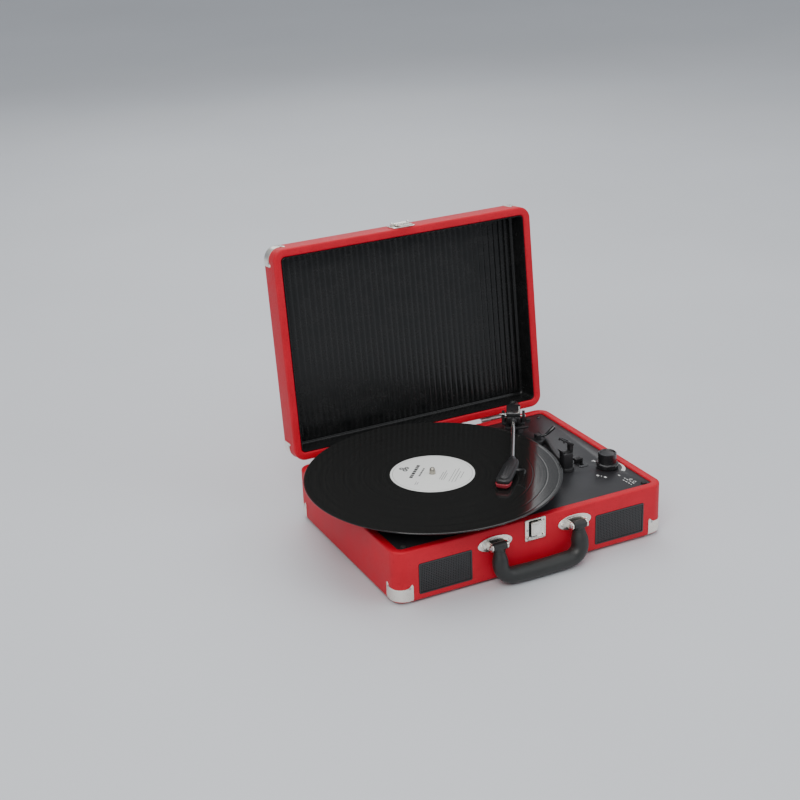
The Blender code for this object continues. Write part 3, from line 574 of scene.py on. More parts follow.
def front(*origin):
    return facing(origin, (0, -1, 0))


def rear(*origin):
    return facing(origin, (0, 1, 0))


def upright(*origin):
    return facing(origin, (0, 0, 1), (0, 1, 0))


def downward(*origin):
    return facing(origin, (0, 0, -1), (0, 1, 0))


def screw(place, radius=2.4, look=None, height=1.1):
    """A pan-head screw with a cross recess, its seat at the frame's origin."""
    profile = [(0, height), (radius * 0.45, height * 0.96), (radius * 0.8, height * 0.72),
        (radius * 0.97, height * 0.3), (radius, 0), (radius, -0.4), (0, -0.4)]
    head = turned(profile, look or NICKEL, place, 20)
    arm, half = radius * 0.58, radius * 0.13
    bars = [prism([(-arm, -half), (arm, -half), (arm, half), (-arm, half)] if k
        else [(-half, -arm), (half, -arm), (half, arm), (-half, arm)], height * 0.35, height + 1,
        None, place, 0) for k in (0, 1)]
    return cut(head, *bars)


def rivet(place, radius=1.7, height=0.44):
    profile = [(0, height), (radius * 0.5, height * 0.88), (radius * 0.85, height * 0.5),
        (radius, 0), (radius, -0.4), (0, -0.4)]
    return turned(profile, STEEL, place, 18)


def dress(node, look, width=0.25, segments=2, angle=40):
    """Gives a CAD node its finish and soft edges."""
    obj = NODES[node]
    obj.data.materials.clear()
    obj.data.materials.append(look)
    weld = obj.modifiers.new("weld", "WELD")
    weld.merge_threshold = 0.000002
    if width:
        soften(obj, width, segments, angle)
    obj.data.shade_smooth()
    return obj


# ---- where things are

HALF_W, HALF_D, RIM = 176, 132, 66
DECK_Z, BOTTOM_Z = 64, 2.5
SPINDLE = (-64.3, -10.7)
PRINT_LOW, PRINT_HIGH = 87.34, 87.4     # the label's printed layer
LID = frame((0, 135, RIM), (-96.5, 0, 0))
LID_NEAR, LID_FAR, LID_RIM, LID_OUT = -3, -267, 0.6, 34.6
ARM_XY, ARM_AXLE_Z, ARM_TURN = (100, 81), 90, -31.4
TILT = frame((*ARM_XY, ARM_AXLE_Z), (0, 0, ARM_TURN))
HEAD = TILT @ frame((0, -155.103, 0), (0, 0, -12))
HANDLE_Y, HANDLE_Z = -141.5, 48.5
HANDLE = frame((0, HANDLE_Y, HANDLE_Z), (-8, 0, 0))
FRONT = -HALF_D
SIDES = (("left", -1), ("right", 1))


def shell(name, profile, look, place=None, near=-HALF_D, far=HALF_D, radius=15, least=5, steps=10):
    """A box wall: a closed profile of (inset, height) carried round a rounded rectangle."""
    bm = bmesh.new()
    middle, half_y = (near + far) / 2, (far - near) / 2
    loops = [[vec(x, y, h) for x, y in rounded(HALF_W - inset, half_y - inset, max(radius - inset,
        least), steps, 0, middle)] for inset, h in profile]
    rings(bm, loops, ring=True)
    return from_bmesh(name, bm, look, place, 32)


def base():
    r = 2.2
    profile = ([(10, 6.8), (10, BOTTOM_Z + 0.6), (9.4, BOTTOM_Z)] + arc(3.5, BOTTOM_Z + 3.5, 3.5,
        270, 180, 6) + arc(r, RIM - r, r, 180, 90, 5) + arc(10 - r, RIM - r, r, 90, 0, 5)
        + [(10, 60.7), (14, 60.7), (14, 6.8)])
    case = shell("case_shell", profile, RED)
    cutters = [prism(rounded(33.4, 18.9, 2, 3), -20, 10, None, front(side * 114, FRONT, 29), 0)
        for side in (-1, 1)]
    cutters.append(prism(rounded(42, 10, 1, 2), -20, 10, None, rear(-30, HALF_D, 34), 0))
    finish(cut(case, *cutters), "base", "leatherette", "base_case")
    # the cover's turned-in edge shows as a fold line inside the rim
    fold = shell("case_rim_fold", [(10.02, RIM - 1.2), (10.25, RIM - 1.2), (10.3, 64.3),
        (10.02, 64.3)], RED)
    finish(fold, "base", "leatherette")
    dress("bottom_panel", BOARD, 0.3)
    for x in (-1, 1):
        for y in (-1, 1):
            name = ("back" if y > 0 else "front") + ("_right" if x > 0 else "_left")
            dress("foot_" + name, RUBBER, 0.6, 3)
    heads = [screw(downward(x, y, BOTTOM_Z), 2.6, STEEL, 0.9) for x in (-120, -60, 0, 60, 120)
        for y in (-116, 116)]
    assemble("bottom_screws", heads, "base", "steel")
    # painted shade: thin black patches on the uncut bottom panel stand for the dark of open vent
    # slots
    vent_shade_patches = [prism(rounded(11, 1.4, 1.3, 4, x, y), 0, 0.35, GLOSS, downward(0, 0, BOTTOM_Z), 0.1)
        for x in (-30, 0, 30) for y in (-12, -4, 4, 12)]
    assemble("bottom_vent_shade_patches", vent_shade_patches, "base", "black_plastic")


def lid():
    r = 2.2
    outer = ([(10 - r, LID_RIM)] + arc(10 - r, LID_RIM + r, r, 270, 360, 5)[1:]
        + [(10, LID_OUT - 3.4)] + [(30, LID_OUT - 3.4), (30, LID_OUT - 1.2), (26, LID_OUT - 0.25),
        (4, LID_OUT)] + arc(4, LID_OUT - 4, 4, 90, 180, 7)[1:] + arc(r, LID_RIM + r, r, 180, 270,
        5))
    shell_piece = shell("lid_shell", outer, RED, LID, LID_FAR, LID_NEAR)
    panel = prism(rounded(HALF_W - 25, HALF_D - 25, 3, 5, 0, (LID_NEAR + LID_FAR) / 2),
        LID_OUT - 3, LID_OUT - 0.2, RED, LID, 0.2)
    assemble("lid_cover", [shell_piece, panel], "lid", "leatherette", "lid_case", "lid_top")
    liner()


def liner():
    """The tray in the lid: a flanged wall and a floor of close vertical ribs."""
    inset, floor, pitch, tall = 10.3, 28.9, 7.5, 0.9
    half_y = (LID_NEAR - LID_FAR) / 2
    middle = (LID_NEAR + LID_FAR) / 2
    bm = bmesh.new()
    walls = [(inset + 0.2, LID_RIM + 1.2), (inset + 0.6, LID_RIM + 1), (inset + 0.9, LID_RIM
        + 1.8), (inset + 1.1, floor - 3), (inset + 1.7, floor - 0.8), (inset + 3.4, floor),
        (inset + 6.5, floor)]
    loops = [[vec(x, y, h) for x, y in rounded(HALF_W - i, half_y - i, 5, 6, 0, middle)] for i,
        h in walls]
    rings(bm, loops, close_ends=False)
    half_x, reach = HALF_W - inset - 5, half_y - inset - 5
    count = int(2 * half_x / pitch)
    across = []
    for k in range(count):
        left = -half_x + k * 2 * half_x / count
        for step in range(8):
            phase = step / 8
            lift = sin(pi * min(1, phase / 0.86)) ** 0.6 if phase < 0.86 else 0
            across.append((left + phase * 2 * half_x / count, lift))
    across.append((half_x, 0))
    along = [(-reach, 0), (-reach + 1.2, 0.55), (-reach + 3.5, 1)] + [(-reach + 3.5
        + (2 * reach - 7) * k / 12, 1) for k in range(1, 12)] + [(reach - 3.5, 1),
        (reach - 1.2, 0.55), (reach, 0)]
    grid = [[bm.verts.new(vec(x, middle + y, floor - 0.05 - tall * lift * fade)) for y,
        fade in along] for x, lift in across]
    quads(bm, grid)
    tray = from_bmesh("lid_liner_tray", bm, LINER, LID, 60)
    for face in tray.data.polygons:
        face.use_smooth = True
    thicken(tray, 0.9)
    finish(tray, "lid", "liner_black", "lid_liner")


def corner_guard(name, body, side_x, side_y, corner, up, place, node):
    """A pressed corner: round underneath, the upper edge scooped between two riveted lobes."""
    proud, bottom_r, plan_r, reach = 0.85, 6.5, 16.3, 22.5
    straight = reach - plan_r
    stations = [("x", reach - straight * k / 6) for k in range(7)]
    stations += [("arc", 90 * k / 12) for k in range(1, 12)]
    stations += [("y", plan_r + straight * k / 6) for k in range(7)]
    total = len(stations) - 1

    def plan(kind, value, inset):
        if kind == "x":
            return value, inset
        if kind == "y":
            return inset, value
        a = radians(value)
        r = plan_r - inset
        return plan_r - r * sin(a), plan_r - r * cos(a)

    def world(x, y, z):
        return vec(corner[0] - side_x * (x - proud), corner[1] - side_y * (y - proud), corner[2]
            + up * (z - proud))

    bm = bmesh.new()
    columns = []
    for i, (kind, value) in enumerate(stations):
        off = abs(2 * i / total - 1)
        lobe = min(1, max(0, (off - 0.62) / 0.18))
        top = 18.6 + 3.6 * off * off + 2 * lobe * lobe * (3 - 2 * lobe)
        edge = max(0, (off - 0.84) / 0.16)
        top -= 3.6 * (1 - sqrt(max(0, 1 - edge * edge)))
        under = 12 - 3 * (1 - off)
        profile = [(under, 0), ((under + bottom_r) / 2,
            0)] + [(bottom_r - bottom_r * sin(radians(a)), bottom_r - bottom_r * cos(radians(a)))
            for a in range(0, 91, 15)] + [(0, bottom_r + (top - bottom_r) * k / 5)
            for k in range(1, 6)]
        columns.append([bm.verts.new(world(*plan(kind, value, inset), h)) for inset, h in profile])
    quads(bm, columns)
    bmesh.ops.recalc_face_normals(bm, faces=bm.faces)
    mesh = bpy.data.meshes.new(name)
    bm.to_mesh(mesh)
    bm.free()
    outward = Vector((side_x, side_y, -up))
    if sum((f.normal.dot(outward) for f in mesh.polygons)) < 0:
        mesh.flip_normals()
    skin = link(bpy.data.objects.new(name, mesh), NICKEL, 60)
    skin.matrix_world = place
    thicken(skin, 1.1, -1)
    soften(skin, 0.35, 2, 60)
    pins = []
    for normal, spot in (((0, side_y, 0), (18, 0, 19)), ((side_x, 0, 0), (0, 18, 19))):
        pins.append(rivet(place @ facing(world(*spot) / MM, normal)))
    pins.append(rivet(place @ facing(world(9.5, 9.5, 0) / MM, (0, 0, -up), (0, 1, 0))))
    assemble(name, [skin, *pins], body, "chrome", node)


def guards():
    for name, x, y in (("front_left", -1, -1), ("front_right", 1, -1), ("back_left", -1, 1),
            ("back_right", 1, 1)):
        corner_guard("guard_base_" + name, "base", x, y, (x * HALF_W, y * HALF_D, BOTTOM_Z), 1,
            Matrix.Identity(4), "base_corner_" + name)
        corner_guard("guard_lid_" + name, "lid", x, y, (x * HALF_W, LID_FAR if y < 0 else LID_NEAR,
            LID_OUT), -1, LID, "lid_corner_" + name)


def grilles():
    for name, side in SIDES:
        place = front(side * 114, FRONT, 29)
        rim = prism(rounded(33.2, 18.7, 2, 4), -1.8, 0.5, GLOSS, place, 0.35, 2,
            [rounded(31.6, 17.1, 1.2, 4)])
        bm = bmesh.new()
        pitch, columns, rows = 2.1, 30, 16
        corner = {}

        def at(x, y):
            key = (round(x, 3), round(y, 3))
            if key not in corner:
                bulge = 0.35 * (1 - (x / 32) ** 2) * (1 - (y / 18) ** 2)
                corner[key] = bm.verts.new(vec(x, y, -0.25 + bulge))
            return corner[key]

        for i in range(columns):
            for j in range(rows):
                cx, cy = (i - columns / 2 + 0.5) * pitch, (j - rows / 2 + 0.5) * pitch
                half, hole = pitch / 2, 0.62
                outside = [(half, 0), (half, half), (0, half), (-half, half), (-half, 0),
                    (-half, -half), (0, -half), (half, -half)]
                inside = arc(0, 0, hole, 0, 315, 8)
                for k in range(8):
                    m = (k + 1) % 8
                    bm.faces.new([at(cx + p[0], cy + p[1]) for p in (outside[k], outside[m],
                        inside[m], inside[k])])
        sheet = from_bmesh("sheet", bm, GLOSS, place, 60)
        thicken(sheet, 0.45)
        back = prism(rounded(32.2, 17.8, 1.5, 4), -2, -1.3, CLOTH, place, 0.1)
        assemble("grille_" + name, [rim, sheet, back], "base", "grille", "speaker_grille_" + name)
        dress("speaker_" + name, CONE, 0)


def latch():
    y = FRONT - 0.3
    place = front(0, y, 52.7)
    hole = [(-8.6, -9.6), (7.6, -9.6), (7.6, 11.6), (-8.6, 11.6)]
    plate = prism(rounded(13.5, 13.2, 1.8, 4), 0, 1.2, NICKEL, place, 0.35, 2, [hole])
    raised = prism(rounded(13.1, 12.8, 1.6, 4), 1.1, 1.55, NICKEL, place, 0.2, 2,
        [rounded(11.9, 11.6, 1, 4)])
    back = prism(rounded(12.5, 12.5, 1, 3), -0.2, 0.25, GLOSS, place, 0)
    bits = [plate, raised, back]
    for x in (-10.6, 10.4):
        for up in (-9.2, 0.6) if x < 0 else (-9.2, 9.4):
            bits.append(screw(front(x, y - 1.15, 52.7 + up), 1.35, STEEL, 0.5))
    for x in (-9.5, 9.5):
        bits.append(turned([(0, 1.2), (1.9, 1.2), (2.3, 0.8), (2.3, -0.8), (1.9, -1.2), (0, -1.2)],
            NICKEL, facing((x, y - 2.9, 44), (1, 0, 0)), 20))
        bits.append(block((x - 1.1, -2.9, -2.2), (x + 1.1, -0.8, 2.2), NICKEL, frame((0, y, 44)),
            0.3, 0.3))
    assemble("latch_body", bits, "base", "chrome", "latch_plate")
    hinge = frame((0, y - 2.9, 44))
    tongue = prism(rounded(6.5, 8.9, 1, 4, 0, 10.4), -0.8, 0.7, NICKEL, hinge @ front(0, 0, 0),
        0.4, 2)
    bead = prism(rounded(4.6, 6, 1, 4, 0, 9.6), 0.6, 1.15, NICKEL, hinge @ front(0, 0, 0), 0.25, 2)
    lip = sweep([(-6, -2, 18.6), (6, -2, 18.6)], 1.25, NICKEL, hinge, 14)
    web = block((-6.3, -2.4, 17.6), (6.3, -0.4, 19.2), NICKEL, hinge, 0.3, 0.3)
    pin = sweep([(-10.4, 0, 0), (10.4, 0, 0)], 0.75, STEEL, hinge, 12)
    curl = sweep([(0.6, 0, 0), (6.4, 0, 0)], 1.3, NICKEL, hinge, 14)
    knuckle = block((0.6, -0.9, -0.4), (6.4, 0.7, 3), NICKEL, hinge, 0.3, 0.3)
    assemble("latch_flap", [tongue, knuckle, bead, lip, web, pin,
        curl], "front_latch", "chrome", "latch_tongue")


def lid_catch():
    y = LID_FAR - 0.3
    place = LID @ front(0, y, 13.5)
    plate = prism(rounded(15, 10.5, 2.2, 4), 0, 1.2, NICKEL, place, 0.35, 2)
    bits = [plate] + [screw(LID @ front(x, y - 1.15, 8), 1.6, STEEL, 0.6) for x in (-11.8, 11.8)]
    for x in (-11, 11):
        bits.append(turned([(0, 1.2), (2.2, 1.2), (2.6, 0.8), (2.6, -0.8), (2.2, -1.2), (0, -1.2)],
            NICKEL, LID @ facing((x, y - 3, 16.8), (1, 0, 0)), 20))
        bits.append(block((x - 1.1, y - 3, 14.4), (x + 1.1, y - 0.8, 19.2), NICKEL, LID, 0.3, 0.3))
    assemble("catch_body", bits, "lid", "chrome", "lid_latch_plate")
    axis = LID @ frame((0, y - 3, 16.8))
    face = axis @ front(0, 0, 0)
    loop = prism(rounded(8.5, 10.4, 2.4, 5, 0, -10), -0.6, 0.9, NICKEL, face, 0.45, 3,
        [rounded(5, 4.75, 1.2, 4, 0, -12.75)])
    bead = sweep([(-6.6, -0.3, -19.2), (6.6, -0.3, -19.2)], 0.7, NICKEL, axis, 12)
    curl = sweep([(-8.4, 0, 0), (8.4, 0, 0)], 1.5, NICKEL, axis, 16)
    pin = sweep([(-12.1, 0, 0), (12.1, 0, 0)], 0.75, STEEL, axis, 12)
    assemble("hasp_loop", [loop, bead, curl, pin], "hasp", "chrome", "lid_hasp")


def brackets():
    for name, side in SIDES:
        x = side * 52
        place = front(x, FRONT - 0.3, HANDLE_Z)
        around = [tau * k / 48 for k in range(48)]
        oval = [(22 * cos(a), 9.2 * sin(a)) for a in around]
        plate = prism(oval, 0, 1.3, NICKEL, place, 0.6, 3)
        inner = [(18.6 * cos(a), 6.7 * sin(a)) for a in around]
        raised = prism(inner, 1.2, 1.8, NICKEL, place, 0.35, 2)
        bits = [plate, raised] + [screw(front(x + k * 16.6, FRONT - 1.9, HANDLE_Z), 2.3, NICKEL,
            0.8) for k in (-1, 1)]
        for k in (-1, 1):
            tab = arc(0, 0, 4.6, 180, 360, 15) + [(4.6, 8.4), (-4.6, 8.4)]
            bits.append(prism(tab, -1.1, 1.1, NICKEL, frame((x + k * 9.6, HANDLE_Y, HANDLE_Z),
                (0, 90, 0)), 0.4, 2))
            bits.append(turned([(0, 1.6), (1.6, 1.4), (2.6, 0.7), (2.8, 0), (0, 0)], STEEL,
                facing((x + k * 10.7, HANDLE_Y, HANDLE_Z), (k, 0, 0)), 20))
        bits.append(sweep([(x - 10.6, HANDLE_Y, HANDLE_Z), (x + 10.6, HANDLE_Y, HANDLE_Z)], 1.9,
            STEEL, None, 16))
        assemble("handle_mount_" + name, bits, "base", "chrome", "handle_bracket_" + name)


def handle():
    """The moulded carrying handle: narrow necks that swell into a thick grip."""
    half, drop, bend = 52, 37.5, 16
    path, radii = [], []
    neck, thick = 6.3, 9.9

    def swell(distance):
        t = min(1, max(0, (distance - 3) / 15))
        return neck + (thick - neck) * t * t * (3 - 2 * t)

    side = [(half, 0, -z) for z in (0, 1.5, 3.5, 6, 9, 12, 15, 18, 20.5)]
    side += [(half - bend + bend * cos(radians(a)), 0, -(drop - bend) - bend * sin(radians(a)))
        for a in range(6, 91, 6)]
    side += [(x, 0, -drop - 0.9 * (1 - (x / 36) ** 2)) for x in (27, 18, 9)]
    travelled = 0
    for k, point in enumerate(side):
        if k:
            travelled += (Vector(point) - Vector(side[k - 1])).length
        path.append(point)
        radii.append(swell(travelled))
    radii[0], radii[1] = 4.6, 5.6
    points = [(-x, y, z) for x, y, z in path] + [(0, 0, -drop - 0.9)] + path[::-1]
    sizes = radii + [thick] + radii[::-1]
    grip = sweep(points, sizes, GRIP, HANDLE, 32, 0.9, 80)
    bits = [grip]
    for k in (-1, 1):
        eye = turned([(0, 7.6), (4.6, 7.6), (5.2, 7), (5.4, 4), (5.4, -4), (5.2, -7), (4.6, -7.6),
            (0, -7.6)], GRIP, HANDLE @ facing((k * half, 0, 0), (1, 0, 0)), 28)
        band = turned([(neck - 0.2, 0.7), (neck + 0.5, 0.6), (neck + 0.65, 0), (neck + 0.5, -0.6),
            (neck - 0.2, -0.7), (neck - 0.2, 0.7)], GRIP, HANDLE @ frame((k * half, 0, -6.2)), 28)
        bits += [eye, band]
    assemble("carry_grip", bits, "carry_handle", "black_plastic", "handle")


def turntable():
    x, y = SPINDLE
    centre = frame((x, y, 0))
    top, low = 87, 85.4
    profile = [(3.7, top), (10, top), (30, top), (47, top), (50.4, top), (50.9, top - 0.12),
        (51.6, top - 0.12), (52.1, top - 0.06)]
    for gap in (57.5, 79, 97, 117, 133, 145.9):
        profile += [(gap - 1.6, top - 0.06), (gap - 0.45, top - 0.06), (gap - 0.2, top - 0.075),
            (gap + 0.2, top - 0.075), (gap + 0.45, top - 0.06), (gap + 1.6, top - 0.06)]
    profile += [(148.6, top - 0.04), (149.6, top - 0.02), (150.4, top - 0.12), (150.8, top - 0.5),
        (150.8, low + 0.5), (150.3, low + 0.05), (149.3, low), (60, low + 0.1), (3.7, low)]
    profile.append(profile[0])
    record = turned(profile, VINYL, centre, 192, 25, "record_disc")
    finish(record, "turntable", "vinyl", "vinyl_record")
    label = turned([(3.8, 87.35), (49.2, 87.35), (49.5, 87.2), (49.5, 87.02), (3.8, 87.02),
        (3.8, 87.35)], LABEL, centre, 96, 25, "label_disc")
    finish(label, "turntable", "label_paper", "record_label")
    bars = []
    rows = ((-4, -12, 20, 0.35), (-2, -14.5, 26, 0.35), (-5, -17, 18, 0.35), (0, -24, 34, 0.3),
        (1, -27.5, 38, 0.3), (-2, -31, 30, 0.3), (3, -35, 18, 0.3), (-30, 12, 9, 0.3),
        (-30, 9.6, 7, 0.3))
    turn = frame((x, y, 0), (0, 0, 47))
    for bx, by, length, tall in rows:
        bars.append(prism(rounded(length / 2, tall, 0.2, 2, bx, by), PRINT_LOW, PRINT_HIGH,
            GREY_INK, turn, 0))
    for by, tall, lengths in ((21.5, 2, (4.5, 3.2, 4.5, 3.8, 4.5, 3.2, 4.5)),
            (13, 1.1, (3, 2.2, 3.4, 1.6, 3, 2.6))):
        bx = -sum(lengths) / 2 - 0.6 * (len(lengths) - 1)
        for length in lengths:
            bars.append(prism(rounded(length / 2, tall, 0.4, 2, bx + length / 2, by), PRINT_LOW,
                PRINT_HIGH, RUBBER, turn, 0))
            bx += length + 1.2
    for k in range(3):
        px, py = 4 + 3.6 * cos(radians(90 + 120 * k)), 35 + 3.6 * sin(radians(90 + 120 * k))
        bars.append(prism(arc(px, py, 2.9, 0, 345, 24), PRINT_LOW, PRINT_HIGH, RUBBER, turn, 0, 2,
            [arc(px, py, 1.2, 0, 345, 24)]))
    assemble("label_print", bars, "turntable", "label_paper")
    cone = turned([(0, 95), (1.2, 94.9), (2.2, 94.3), (3, 93), (3.4, 91.4), (3.5, 90), (3.5, 55),
        (0, 55)], AXLE, centre, 32, name="spindle_pin")
    finish(cone, "turntable", "steel", "spindle")
    dress("platter", GLOSS, 0.4, 2)
    dress("platter_mat", MAT, 0.2, 2)
    dress("platter_bearing", STEEL, 0.2)
    dress("motor", STEEL, 0.3)
    dress("motor_pulley", BRASS, 0)
    dress("drive_belt", RUBBER, 0)


def deck():
    dress("deck_panel", DECK, 0.3)
    heads = [screw(upright(x, y, DECK_Z - 0.2), 2.5, GLOSS, 1.3) for x in (-156, 156)
        for y in (-60, 112)]
    heads += [turned([(0, 2.4), (2.4, 2.3), (3.3, 1.6), (3.5, 0), (0, 0)], RUBBER,
        upright(x, y, DECK_Z), 28) for x, y in ((-140, 112), (140, 112), (157.5, -117),
        (-157.5, -117))]
    assemble("deck_screws", heads, "base", "black_plastic")
    marks, up = [], frame((0, 0, DECK_Z))
    ring = [(radians(26 - 86 * k / 23), k / 23) for k in range(24)]
    wedge = [(146 + (18.2 + 4.6 * t) * cos(a), -59 + (18.2 + 4.6 * t) * sin(a)) for a, t in ring]
    wedge += [(146 + 17.7 * cos(a), -59 + 17.7 * sin(a)) for a, t in ring[::-1]]
    marks.append(prism(wedge[::-1], 0, 0.08, WHITE_INK, up, 0))
    dashes = [(142.6, -36.6, 1, 2.2), (140.6, -35.2, 0.7, 0.9), (123.6, -72.6, 1.3, 1.9),
        (126.4, -76, 0.6, 0.9), (128.6, -81, 1.3, 1.9), (145.2, -85, 0.9, 1.7)]
    dashes += [(x, y, 0.55, h) for x, y, h in ((142.2, -98.6, 1.5), (142.6, -103.4, 1.9),
        (143, -108.4, 1.6), (143.2, -112.4, 0.9), (146.4, -95, 1.2), (146.8, -99.4, 1.8),
        (147.2, -104.6, 1.5), (147.4, -110, 2.2))]
    for x, y, w, h in dashes:
        marks.append(prism(rounded(w, h, 0.4, 3, x, y), 0, 0.08, WHITE_INK, up, 0))
    for x, y in ((150.6, -101), (150.9, -108)):
        marks.append(prism(arc(x, y, 1.9, 0, 345, 24), 0, 0.08, WHITE_INK, up, 0, 2,
            [arc(x, y, 1.3, 0, 345, 24)]))
    assemble("deck_marks", marks, "base", "label_paper")
    controls()


def controls():
    axis = frame((146, -59, DECK_Z + 0.8))
    flutes, bm = 36, bmesh.new()
    count = flutes * 4
    profile = [(9, 18.3, 0), (9.4, 18.9, 0), (10.3, 19, 0), (10.9, 18.5, 0.3), (11, 17.4, 1),
        (11, 7.2, 1), (10.9, 6.6, 0.2), (12.4, 6, 0), (13, 5.3, 0), (13, 0.6, 0), (12.6, 0, 0)]
    loops = []
    for r, h, depth in [(0, 16.9, 0), (8.2, 16.9, 0), (8.4, 18, 0)] + profile + [(0, 0, 0)]:
        loop = []
        for i in range(count):
            wave = 0.28 * depth * (0.5 + 0.5 * cos(tau * flutes * i / count))
            a = tau * i / count
            loop.append(vec(max(r - wave, 0) * cos(a), max(r - wave, 0) * sin(a), h))
        loops.append(loop)
    rings(bm, loops, close_ends=False)
    bmesh.ops.remove_doubles(bm, verts=bm.verts, dist=1e-7)
    knob = from_bmesh("knob", bm, GLOSS, axis, 40)
    dish = turned([(8.3, 18.2), (7.9, 17.6), (5, 17.2), (0, 17.1), (0, 16.9), (8.3, 16.9),
        (8.3, 18.2)], BLACK, axis, 48)
    assemble("knob_cap", [knob, dish], "knob", "black_plastic", "volume_knob")
    dress("volume_pot", STEEL, 0.2)
    dress("speed_switch", BLACK, 0)
    plate = prism(rounded(6, 15.5, 2, 4, 124, -29), 0, 0.5, GLOSS, frame((0, 0, DECK_Z)), 0.2, 2,
        [rounded(2.1, 10.9, 0.5, 3, 124, -29)], "plate")
    finish(plate, "base", "black_plastic")
    spot = frame((124, -29, DECK_Z))
    cap = block((-4.5, -2.6, 0.7), (6.5, 2.6, 5.4), BLACK, spot, 2, 0.7, 3)
    ridges = [sweep([(x, -2, 5.4), (x, 2, 5.4)], 0.35, BLACK, spot, 8) for x in (-2.5, -1, 0.5, 2,
        3.5)]
    stem = block((-1.4, -2.3, -6.4), (1.4, 2.3, 1.5), BLACK, spot, 0.5, 0.2)
    assemble("speed_cap", [cap, stem, *ridges], "speed_control", "black_plastic", "speed_lever")


